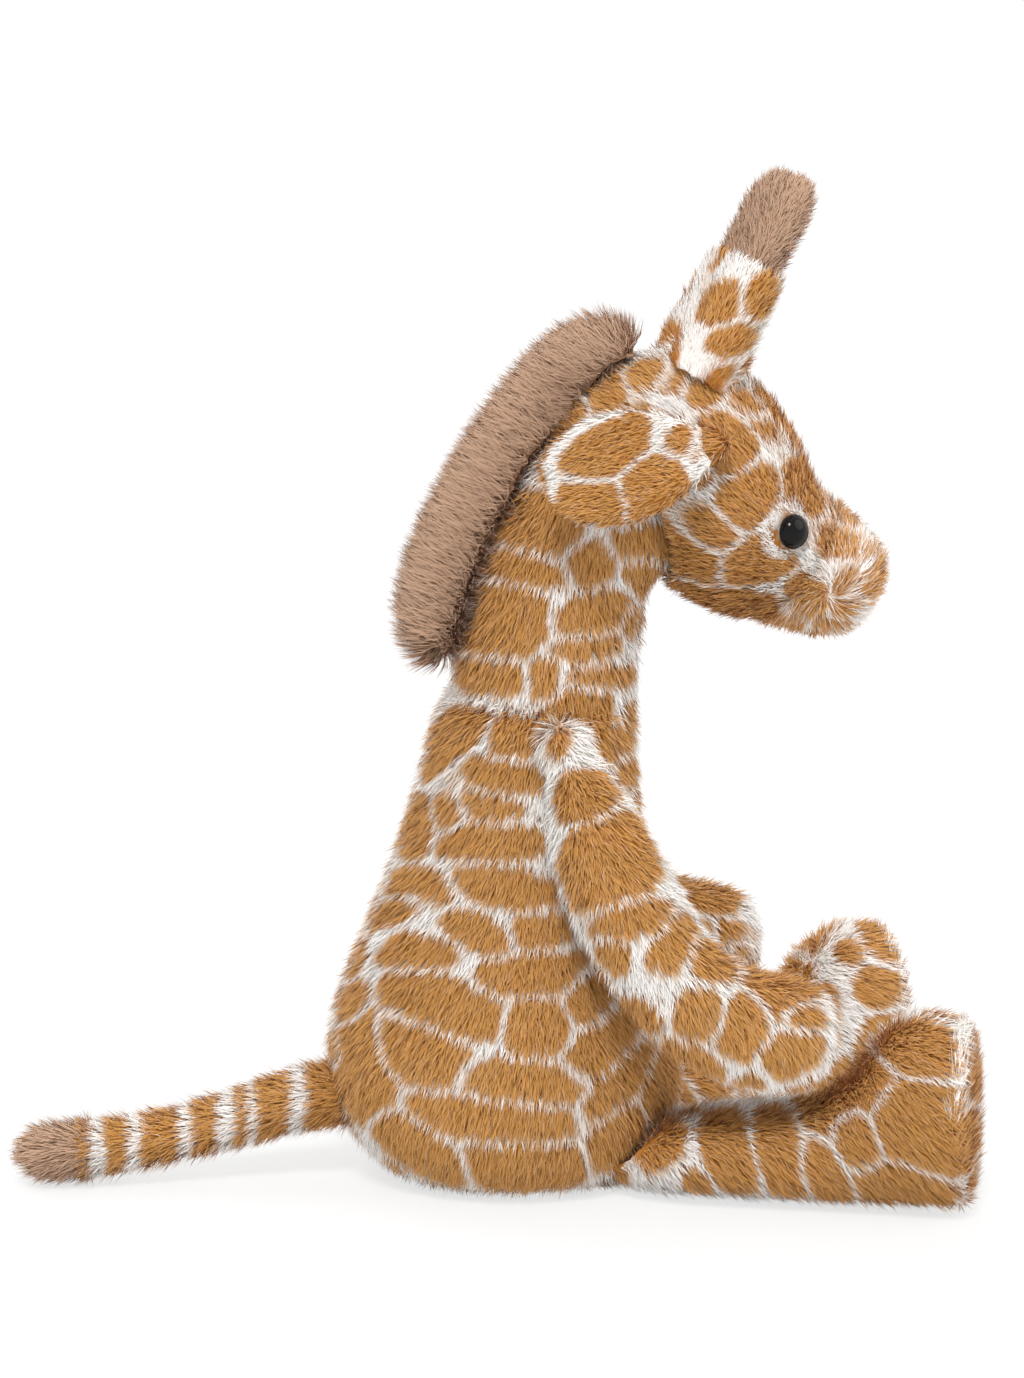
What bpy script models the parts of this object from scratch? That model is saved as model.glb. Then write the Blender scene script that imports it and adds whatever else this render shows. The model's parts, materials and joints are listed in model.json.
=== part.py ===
"""A plush giraffe that sits by itself, as the sewn pieces it is made of: plush covers over their stuffing.

Metres. It faces +X, its left is +Y, and +Z is up. The origin is on the floor, in the flat seat.
Covers are as thick as the cloth backing and the pile together, so their outside is the mean fur.
"""

import math

import bmesh
import bpy
from mathutils import Matrix, Vector
from mathutils.bvhtree import BVHTree

MM = 0.001

# Plush
BACKING = 1.2 * MM
PILE = 5.8 * MM
SHORT_PILE = 3.3 * MM
PLUSH = BACKING + PILE
SHORT_PLUSH = BACKING + SHORT_PILE
GAP = 0.4 * MM
STUFFING_GAP = 0.8 * MM
SEAT_CUT = 0.5 * MM
CUTTER_REACH = 400 * MM
LEAST_HOLLOW_SHARE = 1.3
END_SHARE = 0.2
MERGE_SHARE = 0.1
TURN_CLEARANCE = 0.2 * MM
SHARP_ANGLE = math.radians(40)

# Torso, a pear that leans back a little
TORSO_HEIGHT = 172 * MM
TORSO_DEPTH = 130 * MM
TORSO_WIDTH = 122 * MM
SIDE_SEAM_X = 24 * MM
TORSO_SIDES = 12
# Each row: height, centre, depth and width, as shares of the three sizes above
TORSO_SHARES = (
    (-0.003, 0.05, 0.62, 0.62),
    (0.03, 0.045, 0.80, 0.80),
    (0.12, 0.025, 0.96, 0.95),
    (0.24, 0.008, 1.0, 1.0),
    (0.35, 0.012, 0.965, 0.97),
    (0.46, 0.025, 0.87, 0.89),
    (0.58, 0.04, 0.76, 0.80),
    (0.72, 0.06, 0.66, 0.72),
    (0.88, 0.085, 0.59, 0.66),
    (1.06, 0.11, 0.54, 0.56),
)

# Neck, from the crease above the shoulders to the ball that carries the head
NECK_DEPTH = 69 * MM
NECK_WIDTH = 66 * MM
NECK_SUNK = 1 * MM
NECK_AHEAD = 14.5 * MM
NECK_BASE = Vector((NECK_AHEAD, 0, TORSO_HEIGHT - NECK_SUNK))
NECK_LEAN = math.radians(5)
NECK_SWING = math.radians(30)
NECK_RUN = 20.5 * MM
NECK_RISE = 62 * MM
HEAD_PIVOT = NECK_BASE + Vector((NECK_RUN, 0, NECK_RISE))
NECK_BALL = 33 * MM
NOD_CLEARANCE = 0.9 * MM
NECK_SIDES = 12
BALL_SIDES = 20
ROOT_SIDES = 16
ROD_SIDES = 8
# Each row: run and rise between base and pivot, lean in degrees, depth and width
NECK_SHARES = (
    (-0.05, -0.22, 2, 1.03, 1.06),
    (0.02, 0.02, 6, 1.0, 1.0),
    (0.12, 0.30, 11, 0.965, 0.97),
    (0.32, 0.58, 20, 0.95, 0.94),
    (0.62, 0.82, 36, 0.94, 0.93),
    (1.0, 1.0, 54, 0.90, 0.90),
)
NOD_DOWN = math.radians(10)
NOD_UP = math.radians(20)
RELIEF_STEPS = 3
RELIEF_GROWTH = 0.8 * MM

# Head, a ball drawn out into a muzzle
HEAD_RUN = 32 * MM
HEAD_RISE = 7 * MM
HEAD_CENTRE = HEAD_PIVOT + Vector((HEAD_RUN, 0, HEAD_RISE))
HEAD_LENGTH = 130 * MM
HEAD_HEIGHT = 84 * MM
HEAD_WIDTH = 82 * MM
HEAD_DROOP = math.radians(32)
HEAD_SIDES = 12
# Each row: place along the length, then rise, height and width
HEAD_SHARES = (
    (-0.405, 0.02, 0.28, 0.28),
    (-0.345, 0.045, 0.64, 0.62),
    (-0.215, 0.055, 0.92, 0.86),
    (-0.077, 0.065, 1.0, 0.98),
    (0.06, 0.042, 0.95, 1.0),
    (0.17, -0.005, 0.885, 0.91),
    (0.27, -0.055, 0.74, 0.74),
    (0.36, -0.03, 0.62, 0.62),
    (0.455, -0.022, 0.58, 0.58),
    (0.54, -0.022, 0.49, 0.49),
    (0.60, -0.024, 0.28, 0.28),
)
MUZZLE_SEAM = 46 * MM

# Eyes on stems, held by washers
EYE_WIDTH = 12 * MM
EYE_HEIGHT = 4.6 * MM
EYE_RIM = 0.8 * MM
EYE_SUNK = 2.6 * MM
EYE_STEM = 4 * MM
EYE_STEM_LENGTH = 8.5 * MM
WASHER_WIDTH = 13 * MM
WASHER_THICKNESS = 1.5 * MM
WASHER_CONE = 0.6 * MM
EYE_STEPS = 16
EYE_ARC_STEPS = 4
EYE_AHEAD = 26 * MM
EYE_RISE = 6 * MM
EYE_TURN = math.radians(58)

# Mane
MANE_WIDTH = 23 * MM
MANE_HEIGHT = 26 * MM
MANE_ROOT = 5 * MM
MANE_SIDES = 6
# Each row: place from the nape's lowest point to the crown, then the share of the full height
MANE_SHARES = (
    (0.0, 0.26),
    (0.08, 0.57),
    (0.25, 0.72),
    (0.45, 0.81),
    (0.65, 0.92),
    (0.85, 1.0),
    (0.96, 0.88),
    (1.0, 0.46),
)
MANE_FOOT_BACK = 36.5 * MM
MANE_FOOT_RISE = 10 * MM
MANE_NAPE_BACK = 41 * MM
MANE_NAPE_RISE = 3 * MM
MANE_CROWN_AHEAD = 17 * MM
MANE_CROWN_RISE = 52 * MM
MANE_FOOT = NECK_BASE + Vector((-MANE_FOOT_BACK, 0, MANE_FOOT_RISE))
MANE_NAPE = HEAD_PIVOT + Vector((-MANE_NAPE_BACK, 0, MANE_NAPE_RISE))
MANE_CROWN = HEAD_PIVOT + Vector((MANE_CROWN_AHEAD, 0, MANE_CROWN_RISE))

# Ears, two layers each
EAR_LENGTH = 60 * MM
EAR_WIDTH = 41 * MM
EAR_THICKNESS = 6 * MM
EAR_CUP = 5 * MM
EAR_ROOT = 12 * MM
EAR_STAND = 5.5 * MM
EAR_SIDES = 8
EAR_BEHIND = 1 * MM
EAR_RISE = 20 * MM
EAR_DROP = math.radians(12)
EAR_FLARE = math.radians(7)
EAR_OPEN = math.radians(50)
# Each row: place along the ear, then width and thickness
EAR_SHARES = (
    (-0.02, 0.26, 0.75),
    (0.10, 0.46, 0.95),
    (0.30, 0.84, 1.0),
    (0.55, 1.0, 1.0),
    (0.80, 0.84, 0.95),
    (0.96, 0.42, 0.7),
)

# Horns, each a gathered cover with a brown tip
HORN_LENGTH = 62 * MM
HORN_WIDTH = 29 * MM
HORN_TIP_WIDTH = 19 * MM
HORN_COLLAR = 32 * MM
HORN_STAND = 6 * MM
HORN_LEAN = math.radians(27.6)
HORN_SPREAD = 15.5 * MM
HORN_AHEAD = 5 * MM
HORN_SWING = math.radians(14)
HORN_SIDES = 6
HORN_COVER_SHARES = ((0.0, 0.96), (0.2, 0.98), (0.5, 0.92), (0.8, 0.90), (1.0, 0.88))
HORN_TIP_SHARES = ((-0.12, 0.85), (0.25, 1.0), (0.7, 1.0), (0.93, 0.75), (1.0, 0.35))

# Arms, sewn at the shoulder, with the hand on the leg
SHOULDER_DROP = 9 * MM
SHOULDER_AHEAD = 17 * MM
SHOULDER_OUT = 43 * MM
ARM_PIVOT = Vector((SHOULDER_AHEAD, SHOULDER_OUT, TORSO_HEIGHT - SHOULDER_DROP))
ARM_RUN = 94 * MM
ARM_FALL = 100 * MM
ARM_OUT = 28 * MM
ARM_WIDTH = 48 * MM
ARM_THICKNESS = 40 * MM
ARM_SIDES = 8
ARM_LIFT = math.radians(85)
SHOULDER_BORE = 14 * MM
SHOULDER_RING = 2
# Each row: run, way out and fall from the pivot, then width and thickness
ARM_SHARES = (
    (0.0, 0.12, 0.025, 0.34, 0.28),
    (0.04, 0.25, 0.16, 0.64, 0.58),
    (0.09, 0.45, 0.32, 0.80, 0.84),
    (0.155, 0.60, 0.49, 0.90, 0.96),
    (0.25, 0.74, 0.66, 0.90, 1.0),
    (0.365, 0.86, 0.825, 0.90, 1.0),
    (0.52, 0.96, 0.94, 0.96, 1.0),
    (0.70, 1.0, 0.985, 1.0, 1.0),
    (0.85, 1.0, 0.985, 0.90, 0.92),
    (0.96, 0.99, 0.985, 0.54, 0.56),
)

# Legs, splayed on the floor, with upright feet
HIP_AHEAD = 44 * MM
HIP_OUT = 34 * MM
HIP_STAND = 1 * MM
HIP = Vector((HIP_AHEAD, HIP_OUT, HIP_STAND))
LEG_SPLAY = math.radians(20)
LEG_LENGTH = 118 * MM
FOOT_HEIGHT = 74 * MM
FOOT_WIDTH = 50 * MM
SOLE_DEPTH = 9 * MM
LEG_SIDES = 8
LEG_DROP = math.radians(60)
# Each row: place along the leg, top as a share of the foot's height, width as a share of the foot's
LEG_SHARES = (
    (-0.14, 0.30, 0.45),
    (0.0, 0.38, 0.72),
    (0.14, 0.46, 0.90),
    (0.30, 0.52, 0.90),
    (0.48, 0.535, 0.86),
    (0.58, 0.60, 0.86),
    (0.66, 0.86, 0.92),
    (0.76, 1.0, 1.0),
    (0.90, 1.0, 1.0),
    (0.975, 0.95, 0.94),
    (1.0, 0.80, 0.76),
)

# Tail, laid out behind with its tip on the floor
TAIL_WIDTH = 24 * MM
TAIL_STAND = 6 * MM
TAIL_SOCKET_Z = 29 * MM
TAIL_RUN = 100 * MM
TAIL_FALL = 17 * MM
TAIL_SIDES = 6
TAIL_SWING = math.radians(35)
TAIL_TIP_AT_SHARE = 0.78
# Each row: run and fall from the root, then the width
TAIL_SHARES = (
    (0.0, 0.0, 0.96),
    (0.12, 0.18, 0.96),
    (0.28, 0.45, 0.86),
    (0.50, 0.76, 0.80),
    (0.70, 0.92, 0.84),
    (0.86, 1.0, 0.94),
    (0.96, 1.0, 0.82),
    (1.02, 1.0, 0.40),
)

GOLD = (0.52, 0.22, 0.04)
TAUPE = (0.38, 0.25, 0.16)
FIBRE = (0.85, 0.85, 0.84)
BLACK = (0.004, 0.003, 0.003)
NYLON = (0.75, 0.75, 0.72)

SIDEWAYS = Vector((0, 1, 0))
UPWARD = Vector((0, 0, 1))
FORWARD = Vector((1, 0, 0))
SIDES = (("left", 1), ("right", -1))


def clear_scene():
    for thing in list(bpy.data.objects):
        bpy.data.objects.remove(thing, do_unlink=True)


def new_collection(name, hidden=False):
    made = bpy.data.collections.new(name)
    made.hide_render = hidden
    bpy.context.scene.collection.children.link(made)
    return made


def material(name, colour, roughness, metallic=0.0):
    made = bpy.data.materials.new(name)
    made.use_nodes = True
    shader = made.node_tree.nodes["Principled BSDF"]
    shader.inputs["Base Color"].default_value = (*colour, 1)
    shader.inputs["Roughness"].default_value = roughness
    shader.inputs["Metallic"].default_value = metallic
    return made


def add_object(name, mesh, collection, finish=None):
    if finish is not None:
        mesh.materials.append(finish)
    made = bpy.data.objects.new(name, mesh)
    collection.objects.link(made)
    if collection is CUTTERS:
        made.hide_render = True
        made.display_type = "WIRE"
    return made


def finish_mesh(name, shape):
    bmesh.ops.recalc_face_normals(shape, faces=shape.faces)
    mesh = bpy.data.meshes.new(name)
    shape.to_mesh(mesh)
    shape.free()
    mesh.shade_smooth()
    mesh.set_sharp_from_angle(angle=SHARP_ANGLE)
    return mesh


def ring(centre, across, rise, half_across, half_rise, half_below=None, cup=0.0):
    """A ring of the cage: an oval about a centre, or a half oval if one side is flat."""
    below = half_rise if half_below is None else half_below
    return (centre, across, rise, half_across, half_rise, below, cup)


def ring_point(section, angle):
    centre, across, rise, half_across, half_rise, half_below, cup = section
    side = math.cos(angle)
    height = math.sin(angle)
    lift = height * (half_rise if height > 0 else half_below) + cup * side * side
    return centre + across * (half_across * side) + rise * lift


def along_at(rings, index):
    """The way that the form runs at one of its rings."""
    last = len(rings) - 1
    return (rings[min(index + 1, last)][0] - rings[max(index - 1, 0)][0]).normalized()


def end_moved(rings, inset):
    """The rings with the first one moved in along the form, and those that it passes left out."""
    along = along_at(rings, 0)
    start = rings[0][0] + along * inset
    passed = [row for row in rings[1:] if (row[0] - start).dot(along) > inset * END_SHARE]
    return [(start, *rings[0][1:]), *passed]


def inset_rings(rings, inset, move_ends):
    """The same form drawn in by an inset all round, its ends too, where it is wide enough to be hollow."""
    wide = [row for row in rings if min(row[3], row[4]) > inset * LEAST_HOLLOW_SHARE]
    ended = end_moved(end_moved(wide, inset)[::-1], inset)[::-1] if move_ends else wide
    shrunk = []
    for centre, across, rise, half_across, half_rise, half_below, cup in ended:
        halves = [max(half - inset, 0) for half in (half_across, half_rise, half_below)]
        shrunk.append((centre, across, rise, *halves, cup))
    return shrunk


def soft_form(name, rings, sides, collection, finish=None, inset=0.0, smooth=True, move_ends=True):
    """A cage of rings. Under Subdivision Surface its skin meets the named sizes; plain, it lies inside."""
    growth = 1 / math.cos(math.pi / sides) if smooth else 1
    shape = bmesh.new()
    rows = inset_rings(rings, inset, move_ends)
    bmesh.ops.create_grid(shape, x_segments=sides, y_segments=len(rows) - 1, size=1)
    for vertex in shape.verts:
        column = round((vertex.co.x + 1) / 2 * sides)
        row = round((vertex.co.y + 1) / 2 * (len(rows) - 1))
        centre, across, rise, half_across, half_rise, half_below, cup = rows[row]
        grown = (centre, across, rise, half_across * growth, half_rise * growth, half_below * growth, cup)
        vertex.co = ring_point(grown, math.tau * (column % sides) / sides)
    bmesh.ops.remove_doubles(shape, verts=shape.verts, dist=GAP / sides)
    open_edges = [edge for edge in shape.edges if edge.is_boundary]
    bmesh.ops.holes_fill(shape, edges=open_edges, sides=sides)
    if not smooth:
        bmesh.ops.triangulate(shape, faces=shape.faces, quad_method="FIXED")
    made = add_object(name, finish_mesh(name, shape), collection, finish)
    if smooth:
        rounding = made.modifiers.new("Soft form", "SUBSURF")
        rounding.levels = rounding.render_levels = 1
    return made


def boolean(target, other, operation="DIFFERENCE"):
    step = target.modifiers.new(f"{operation.capitalize()} {other.name}", "BOOLEAN")
    step.operation = operation
    step.object = other
    step.solver = "EXACT"


def half_space(name, point, normal):
    """A block on the far side of a plane, for cutting a form off flat there."""
    shape = bmesh.new()
    turn = UPWARD.rotation_difference(normal).to_matrix().to_4x4()
    place = Matrix.Translation(point) @ turn @ Matrix.Translation((0, 0, CUTTER_REACH / 2))
    bmesh.ops.create_cube(shape, size=CUTTER_REACH, matrix=place)
    return add_object(name, finish_mesh(name, shape), CUTTERS)


def ball(name, centre, radius, sides=BALL_SIDES):
    shape = bmesh.new()
    place = Matrix.Translation(centre) @ Matrix.Rotation(math.pi / 2, 4, "X")
    bmesh.ops.create_uvsphere(shape, u_segments=sides, v_segments=sides // 2, radius=radius, matrix=place)
    return add_object(name, finish_mesh(name, shape), CUTTERS)


def rod(name, start, end, radius):
    """A round cutter from one point to another."""
    shape = bmesh.new()
    reach = end - start
    turn = UPWARD.rotation_difference(reach.normalized()).to_matrix().to_4x4()
    place = Matrix.Translation((start + end) / 2) @ turn
    size = {"radius1": radius, "radius2": radius, "depth": reach.length}
    bmesh.ops.create_cone(shape, cap_ends=True, segments=ROD_SIDES, matrix=place, **size)
    return add_object(name, finish_mesh(name, shape), CUTTERS)


def turned(name, profile, place, collection, finish=None, steps=EYE_STEPS):
    """A profile of radius and height, turned about its own Z axis."""
    shape = bmesh.new()
    points = [shape.verts.new((radius, 0, height)) for radius, height in profile]
    for first, second in zip(points, points[1:]):
        shape.edges.new((first, second))
    if profile[0][0] > 0 and profile[-1][0] > 0:
        shape.edges.new((points[-1], points[0]))
    mesh = bpy.data.meshes.new(name)
    shape.to_mesh(mesh)
    shape.free()
    made = add_object(name, mesh, collection, finish)
    made.matrix_world = place
    screw = made.modifiers.new("Turned", "SCREW")
    screw.axis = "Z"
    screw.steps = screw.render_steps = steps
    screw.use_merge_vertices = True
    screw.merge_threshold = GAP * MERGE_SHARE
    screw.use_smooth_shade = True
    return made


def surface_hit(thing, start, direction):
    """Where a line from inside a form leaves its smoothed surface, and the normal there."""
    bpy.context.view_layer.update()
    tree = BVHTree.FromObject(thing, bpy.context.evaluated_depsgraph_get())
    place, normal, _, _ = tree.ray_cast(start, direction)
    return place, normal


def pivot_empty(name, place, axis, low, high):
    """The point that a body turns about, with its axis and the angles that it turns through."""
    made = bpy.data.objects.new(name, None)
    made["axis"] = tuple(axis)
    made["range"] = (low, high)
    made.location = place
    made.empty_display_size = EYE_WIDTH
    PARTS.objects.link(made)
    return made


def hang(pivot, *pieces):
    """Parents pieces to the empty on their joint's axis, where they already are."""
    bpy.context.view_layer.update()
    for piece in pieces:
        piece.parent = pivot
        piece.matrix_parent_inverse = pivot.matrix_world.inverted()


def mirrored(vector, side):
    return Vector((vector.x, vector.y * side, vector.z))


def cover(name, rings, sides, thickness, finish):
    """A plush cover: the form with the same form, drawn in by the cloth and pile, taken out of it."""
    made = soft_form(name, rings, sides, PARTS, finish)
    hollow = soft_form(f"{name}_hollow", rings, sides, CUTTERS, inset=thickness, smooth=False)
    boolean(made, hollow)
    return made


def stuffing(name, rings, sides, thickness, move_ends=True):
    inset = thickness + STUFFING_GAP
    return soft_form(name, rings, sides, PARTS, FILL, inset=inset, smooth=False, move_ends=move_ends)


def path_rings(centres, across_of, halves):
    """Rings square to a path. Each half is (across, rise); the rise is the way nearest to a given one."""
    rings = []
    last = len(centres) - 1
    for index, (centre, half) in enumerate(zip(centres, halves)):
        along = (centres[min(index + 1, last)] - centres[max(index - 1, 0)]).normalized()
        rise = (across_of - along * across_of.dot(along)).normalized()
        across = rise.cross(along)
        rings.append(ring(centre, across, rise, half[0], half[1]))
    return rings


# Torso
def torso_rings():
    rings = []
    for height, centre, depth, width in TORSO_SHARES:
        place = Vector((centre * TORSO_DEPTH, 0, height * TORSO_HEIGHT))
        rings.append(ring(place, FORWARD, SIDEWAYS, depth * TORSO_DEPTH / 2, width * TORSO_WIDTH / 2))
    return rings


def neck_up():
    return Vector((math.sin(NECK_LEAN), 0, math.cos(NECK_LEAN)))


def make_torso():
    rings = torso_rings()
    above = half_space("above_torso", NECK_BASE, neck_up())
    ahead = half_space("ahead_of_side_seam", Vector((SIDE_SEAM_X, 0, 0)), FORWARD)
    behind = half_space("behind_side_seam", Vector((SIDE_SEAM_X + GAP, 0, 0)), -FORWARD)
    back = cover("torso_back_cover", rings, TORSO_SIDES, PLUSH, PLUSH_CLOTH)
    front = cover("torso_front_cover", rings, TORSO_SIDES, PLUSH, PLUSH_CLOTH)
    fill = stuffing("torso_stuffing", rings, TORSO_SIDES, PLUSH)
    boolean(back, ahead)
    boolean(front, behind)
    for piece in (back, front, fill):
        boolean(piece, above)
        boolean(piece, BELOW_FLOOR)
    return back, front, fill


# Neck
def neck_rings():
    run = HEAD_PIVOT.x - NECK_BASE.x
    rise = HEAD_PIVOT.z - NECK_BASE.z
    rings = []
    for along, up, lean, depth, width in NECK_SHARES:
        angle = math.radians(lean)
        place = NECK_BASE + Vector((along * run, 0, up * rise))
        across = Vector((math.cos(angle), 0, -math.sin(angle)))
        rings.append(ring(place, across, SIDEWAYS, depth * NECK_DEPTH / 2, width * NECK_WIDTH / 2))
    return rings


def make_neck():
    rings = neck_rings()
    outer_ball = ball("neck_ball", HEAD_PIVOT, NECK_BALL)
    inner_ball = ball("neck_ball_hollow", HEAD_PIVOT, NECK_BALL - PLUSH, NECK_SIDES)
    fill_ball = ball("neck_ball_stuffing", HEAD_PIVOT, NECK_BALL - PLUSH - STUFFING_GAP, NECK_SIDES)
    below = half_space("below_neck", NECK_BASE + neck_up() * GAP, -neck_up())
    skin = soft_form("neck_cover", rings, NECK_SIDES, PARTS, PLUSH_CLOTH)
    boolean(skin, outer_ball, "UNION")
    plain = {"smooth": False, "move_ends": False}
    hollow = soft_form("neck_hollow", rings, NECK_SIDES, CUTTERS, inset=PLUSH, **plain)
    boolean(hollow, inner_ball, "UNION")
    boolean(skin, hollow)
    fill = stuffing("neck_stuffing", rings, NECK_SIDES, PLUSH, move_ends=False)
    boolean(fill, fill_ball, "UNION")
    boolean(skin, below)
    boolean(fill, below)
    return skin, fill


def head_rings():
    along = Vector((math.cos(HEAD_DROOP), 0, -math.sin(HEAD_DROOP)))
    up = Vector((math.sin(HEAD_DROOP), 0, math.cos(HEAD_DROOP)))
    rings = []
    for place, rise, height, width in HEAD_SHARES:
        centre = HEAD_CENTRE + along * (place * HEAD_LENGTH) + up * (rise * HEAD_HEIGHT)
        rings.append(ring(centre, up, SIDEWAYS, height * HEAD_HEIGHT / 2, width * HEAD_WIDTH / 2))
    return rings


def relieve_throat(neck_skin):
    """Room in the neck for the chin as the head nods down: copies of the head, turned about its pivot."""
    kept = ball("neck_ball_kept", HEAD_PIVOT, NECK_BALL + TURN_CLEARANCE)
    for step in range(1, RELIEF_STEPS + 1):
        angle = NOD_DOWN * step / RELIEF_STEPS
        nod = Matrix.Rotation(angle, 4, "Y")
        turn = Matrix.Translation(HEAD_PIVOT) @ nod @ Matrix.Translation(-HEAD_PIVOT)
        chin = soft_form(f"nodded_head_{step}", head_rings(), HEAD_SIDES, CUTTERS, inset=-RELIEF_GROWTH)
        boolean(chin, kept)
        chin.matrix_world = turn
        boolean(neck_skin, chin)


def eye_place(head, side):
    """The eye's own axes: its centre on the head's surface, and Z out of the head."""
    along = Vector((math.cos(HEAD_DROOP), 0, -math.sin(HEAD_DROOP)))
    up = Vector((math.sin(HEAD_DROOP), 0, math.cos(HEAD_DROOP)))
    start = HEAD_CENTRE + along * (EYE_AHEAD - EYE_WIDTH) + up * EYE_RISE
    outward = along * math.cos(EYE_TURN) + SIDEWAYS * (side * math.sin(EYE_TURN))
    hit, normal = surface_hit(head, start, outward)
    turn = UPWARD.rotation_difference(normal).to_matrix().to_4x4()
    return Matrix.Translation(hit) @ turn


def make_eye(side_name, side, head):
    """A domed eye with its stem, the washer that locks it, and the cutter for the pockets they sit in."""
    place = eye_place(head, side)
    rim = EYE_WIDTH / 2
    stem = EYE_STEM / 2
    deep = -EYE_SUNK - EYE_RIM
    profile = [(0, EYE_HEIGHT - EYE_SUNK)]
    for step in range(1, EYE_ARC_STEPS + 1):
        angle = math.pi / 2 * step / EYE_ARC_STEPS
        profile.append((rim * math.sin(angle), EYE_HEIGHT * math.cos(angle) - EYE_SUNK))
    profile += [(rim, deep), (stem, deep), (stem, deep - EYE_STEM_LENGTH), (0, deep - EYE_STEM_LENGTH)]
    eye = turned(f"eye_{side_name}", profile, place, PARTS, EYE_PLASTIC)
    outer = WASHER_WIDTH / 2
    top = -PLUSH
    bore = stem + GAP
    bottom = top - WASHER_THICKNESS
    ring_profile = [(outer, top), (outer, bottom), (bore, bottom - WASHER_CONE), (bore, top)]
    washer = turned(f"eye_washer_{side_name}", ring_profile, place, PARTS, WASHER_PLASTIC)
    seat = top + GAP
    end = deep - EYE_STEM_LENGTH - GAP
    hole = [(0, EYE_WIDTH), (rim + GAP, EYE_WIDTH), (rim + GAP, deep - GAP), (bore, deep - GAP)]
    hole += [(bore, seat), (outer + GAP, seat), (outer + GAP, end), (0, end)]
    pocket = turned(f"eye_pocket_{side_name}", hole, place, CUTTERS)
    return eye, washer, pocket


def socket(name, place, radius):
    """A round seat whose flats stay clear of the corners of the ball that turns in it."""
    flat_share = math.cos(math.pi / ROOT_SIDES) ** 2
    return ball(name, place, (radius + TURN_CLEARANCE) / flat_share, ROOT_SIDES)


# Mane
def mane_path():
    """Points on a curve from the foot of the mane over the nape to the crown."""
    centres = []
    for share, _ in MANE_SHARES:
        low = MANE_FOOT.lerp(MANE_NAPE, share)
        high = MANE_NAPE.lerp(MANE_CROWN, share)
        centres.append(low.lerp(high, share))
    return centres


def make_mane():
    """The strip, standing on the neck and the head: its root is cut away to their surface."""
    centres = mane_path()
    rings = []
    last = len(centres) - 1
    for index, (centre, (_, height)) in enumerate(zip(centres, MANE_SHARES)):
        along = (centres[min(index + 1, last)] - centres[max(index - 1, 0)]).normalized()
        outward = SIDEWAYS.cross(along) * -1
        half = (MANE_HEIGHT * height + MANE_ROOT) / 2
        middle = centre + outward * (half - MANE_ROOT)
        rings.append(ring(middle, SIDEWAYS, outward, MANE_WIDTH / 2, half))
    mane = soft_form("mane", rings, MANE_SIDES, PARTS, MANE_CLOTH)
    under = soft_form("neck_under_mane", neck_rings(), NECK_SIDES, CUTTERS, inset=-GAP)
    neck_top = ball("neck_ball_under_mane", HEAD_PIVOT, NECK_BALL + GAP)
    skull = soft_form("head_under_mane", head_rings(), HEAD_SIDES, CUTTERS, inset=-GAP)
    torso_top = soft_form("torso_under_mane", torso_rings(), TORSO_SIDES, CUTTERS, inset=-GAP)
    for cutter in (under, neck_top, skull, torso_top):
        boolean(mane, cutter)
    return mane


# Ears
def ear_place(head, side):
    hit, _ = surface_hit(head, HEAD_CENTRE + Vector((-EAR_BEHIND, 0, EAR_RISE)), SIDEWAYS * side)
    return hit + SIDEWAYS * (side * EAR_STAND)


def ear_up():
    return Vector((-math.sin(EAR_DROP), 0, math.cos(EAR_DROP)))


def ear_rings(pivot, side, outer):
    """Half of the ear's thickness: its lining faces out of the head, and its back faces the head."""
    flare = Matrix.Rotation(-side * EAR_FLARE, 3, "Z")
    along = flare @ Vector((-math.cos(EAR_DROP), 0, -math.sin(EAR_DROP)))
    up = ear_up()
    out = along.cross(up) * side
    facing = out if outer else -out
    cup = EAR_CUP if outer else -EAR_CUP
    rings = []
    for place, width, thick in EAR_SHARES:
        centre = pivot + along * (place * EAR_LENGTH) + facing * (GAP / 2)
        half = thick * EAR_THICKNESS
        rings.append(ring(centre, up, facing, width * EAR_WIDTH / 2, half, 0.0, cup * width))
    return rings


def make_ear(side_name, side, head):
    """Back and lining, pinched to a round root. The back is cut where it lies on the head and neck."""
    pivot = ear_place(head, side)
    back = soft_form(f"ear_back_{side_name}", ear_rings(pivot, side, False), EAR_SIDES, PARTS, PLUSH_CLOTH)
    lining = soft_form(f"ear_lining_{side_name}", ear_rings(pivot, side, True), EAR_SIDES, PARTS, PLUSH_CLOTH)
    skull = soft_form(f"head_under_ear_{side_name}", head_rings(), HEAD_SIDES, CUTTERS, inset=-GAP)
    nape = soft_form(f"neck_under_ear_{side_name}", neck_rings(), NECK_SIDES, CUTTERS, inset=-GAP)
    boolean(back, skull)
    boolean(back, nape)
    boolean(back, ball(f"ear_root_{side_name}", pivot, EAR_ROOT / 2, ROOT_SIDES), "UNION")
    boolean(lining, ball(f"ear_root_seat_{side_name}", pivot, EAR_ROOT / 2 + GAP, ROOT_SIDES))
    return pivot, back, lining


# Horns
def horn_axis():
    return Vector((math.sin(HORN_LEAN), 0, math.cos(HORN_LEAN)))


def straight_rings(root, axis, rows, length, width):
    centres = [root + axis * (share * length) for share, _ in rows]
    halves = [(wide * width / 2, wide * width / 2) for _, wide in rows]
    return path_rings(centres, SIDEWAYS, halves)


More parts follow.
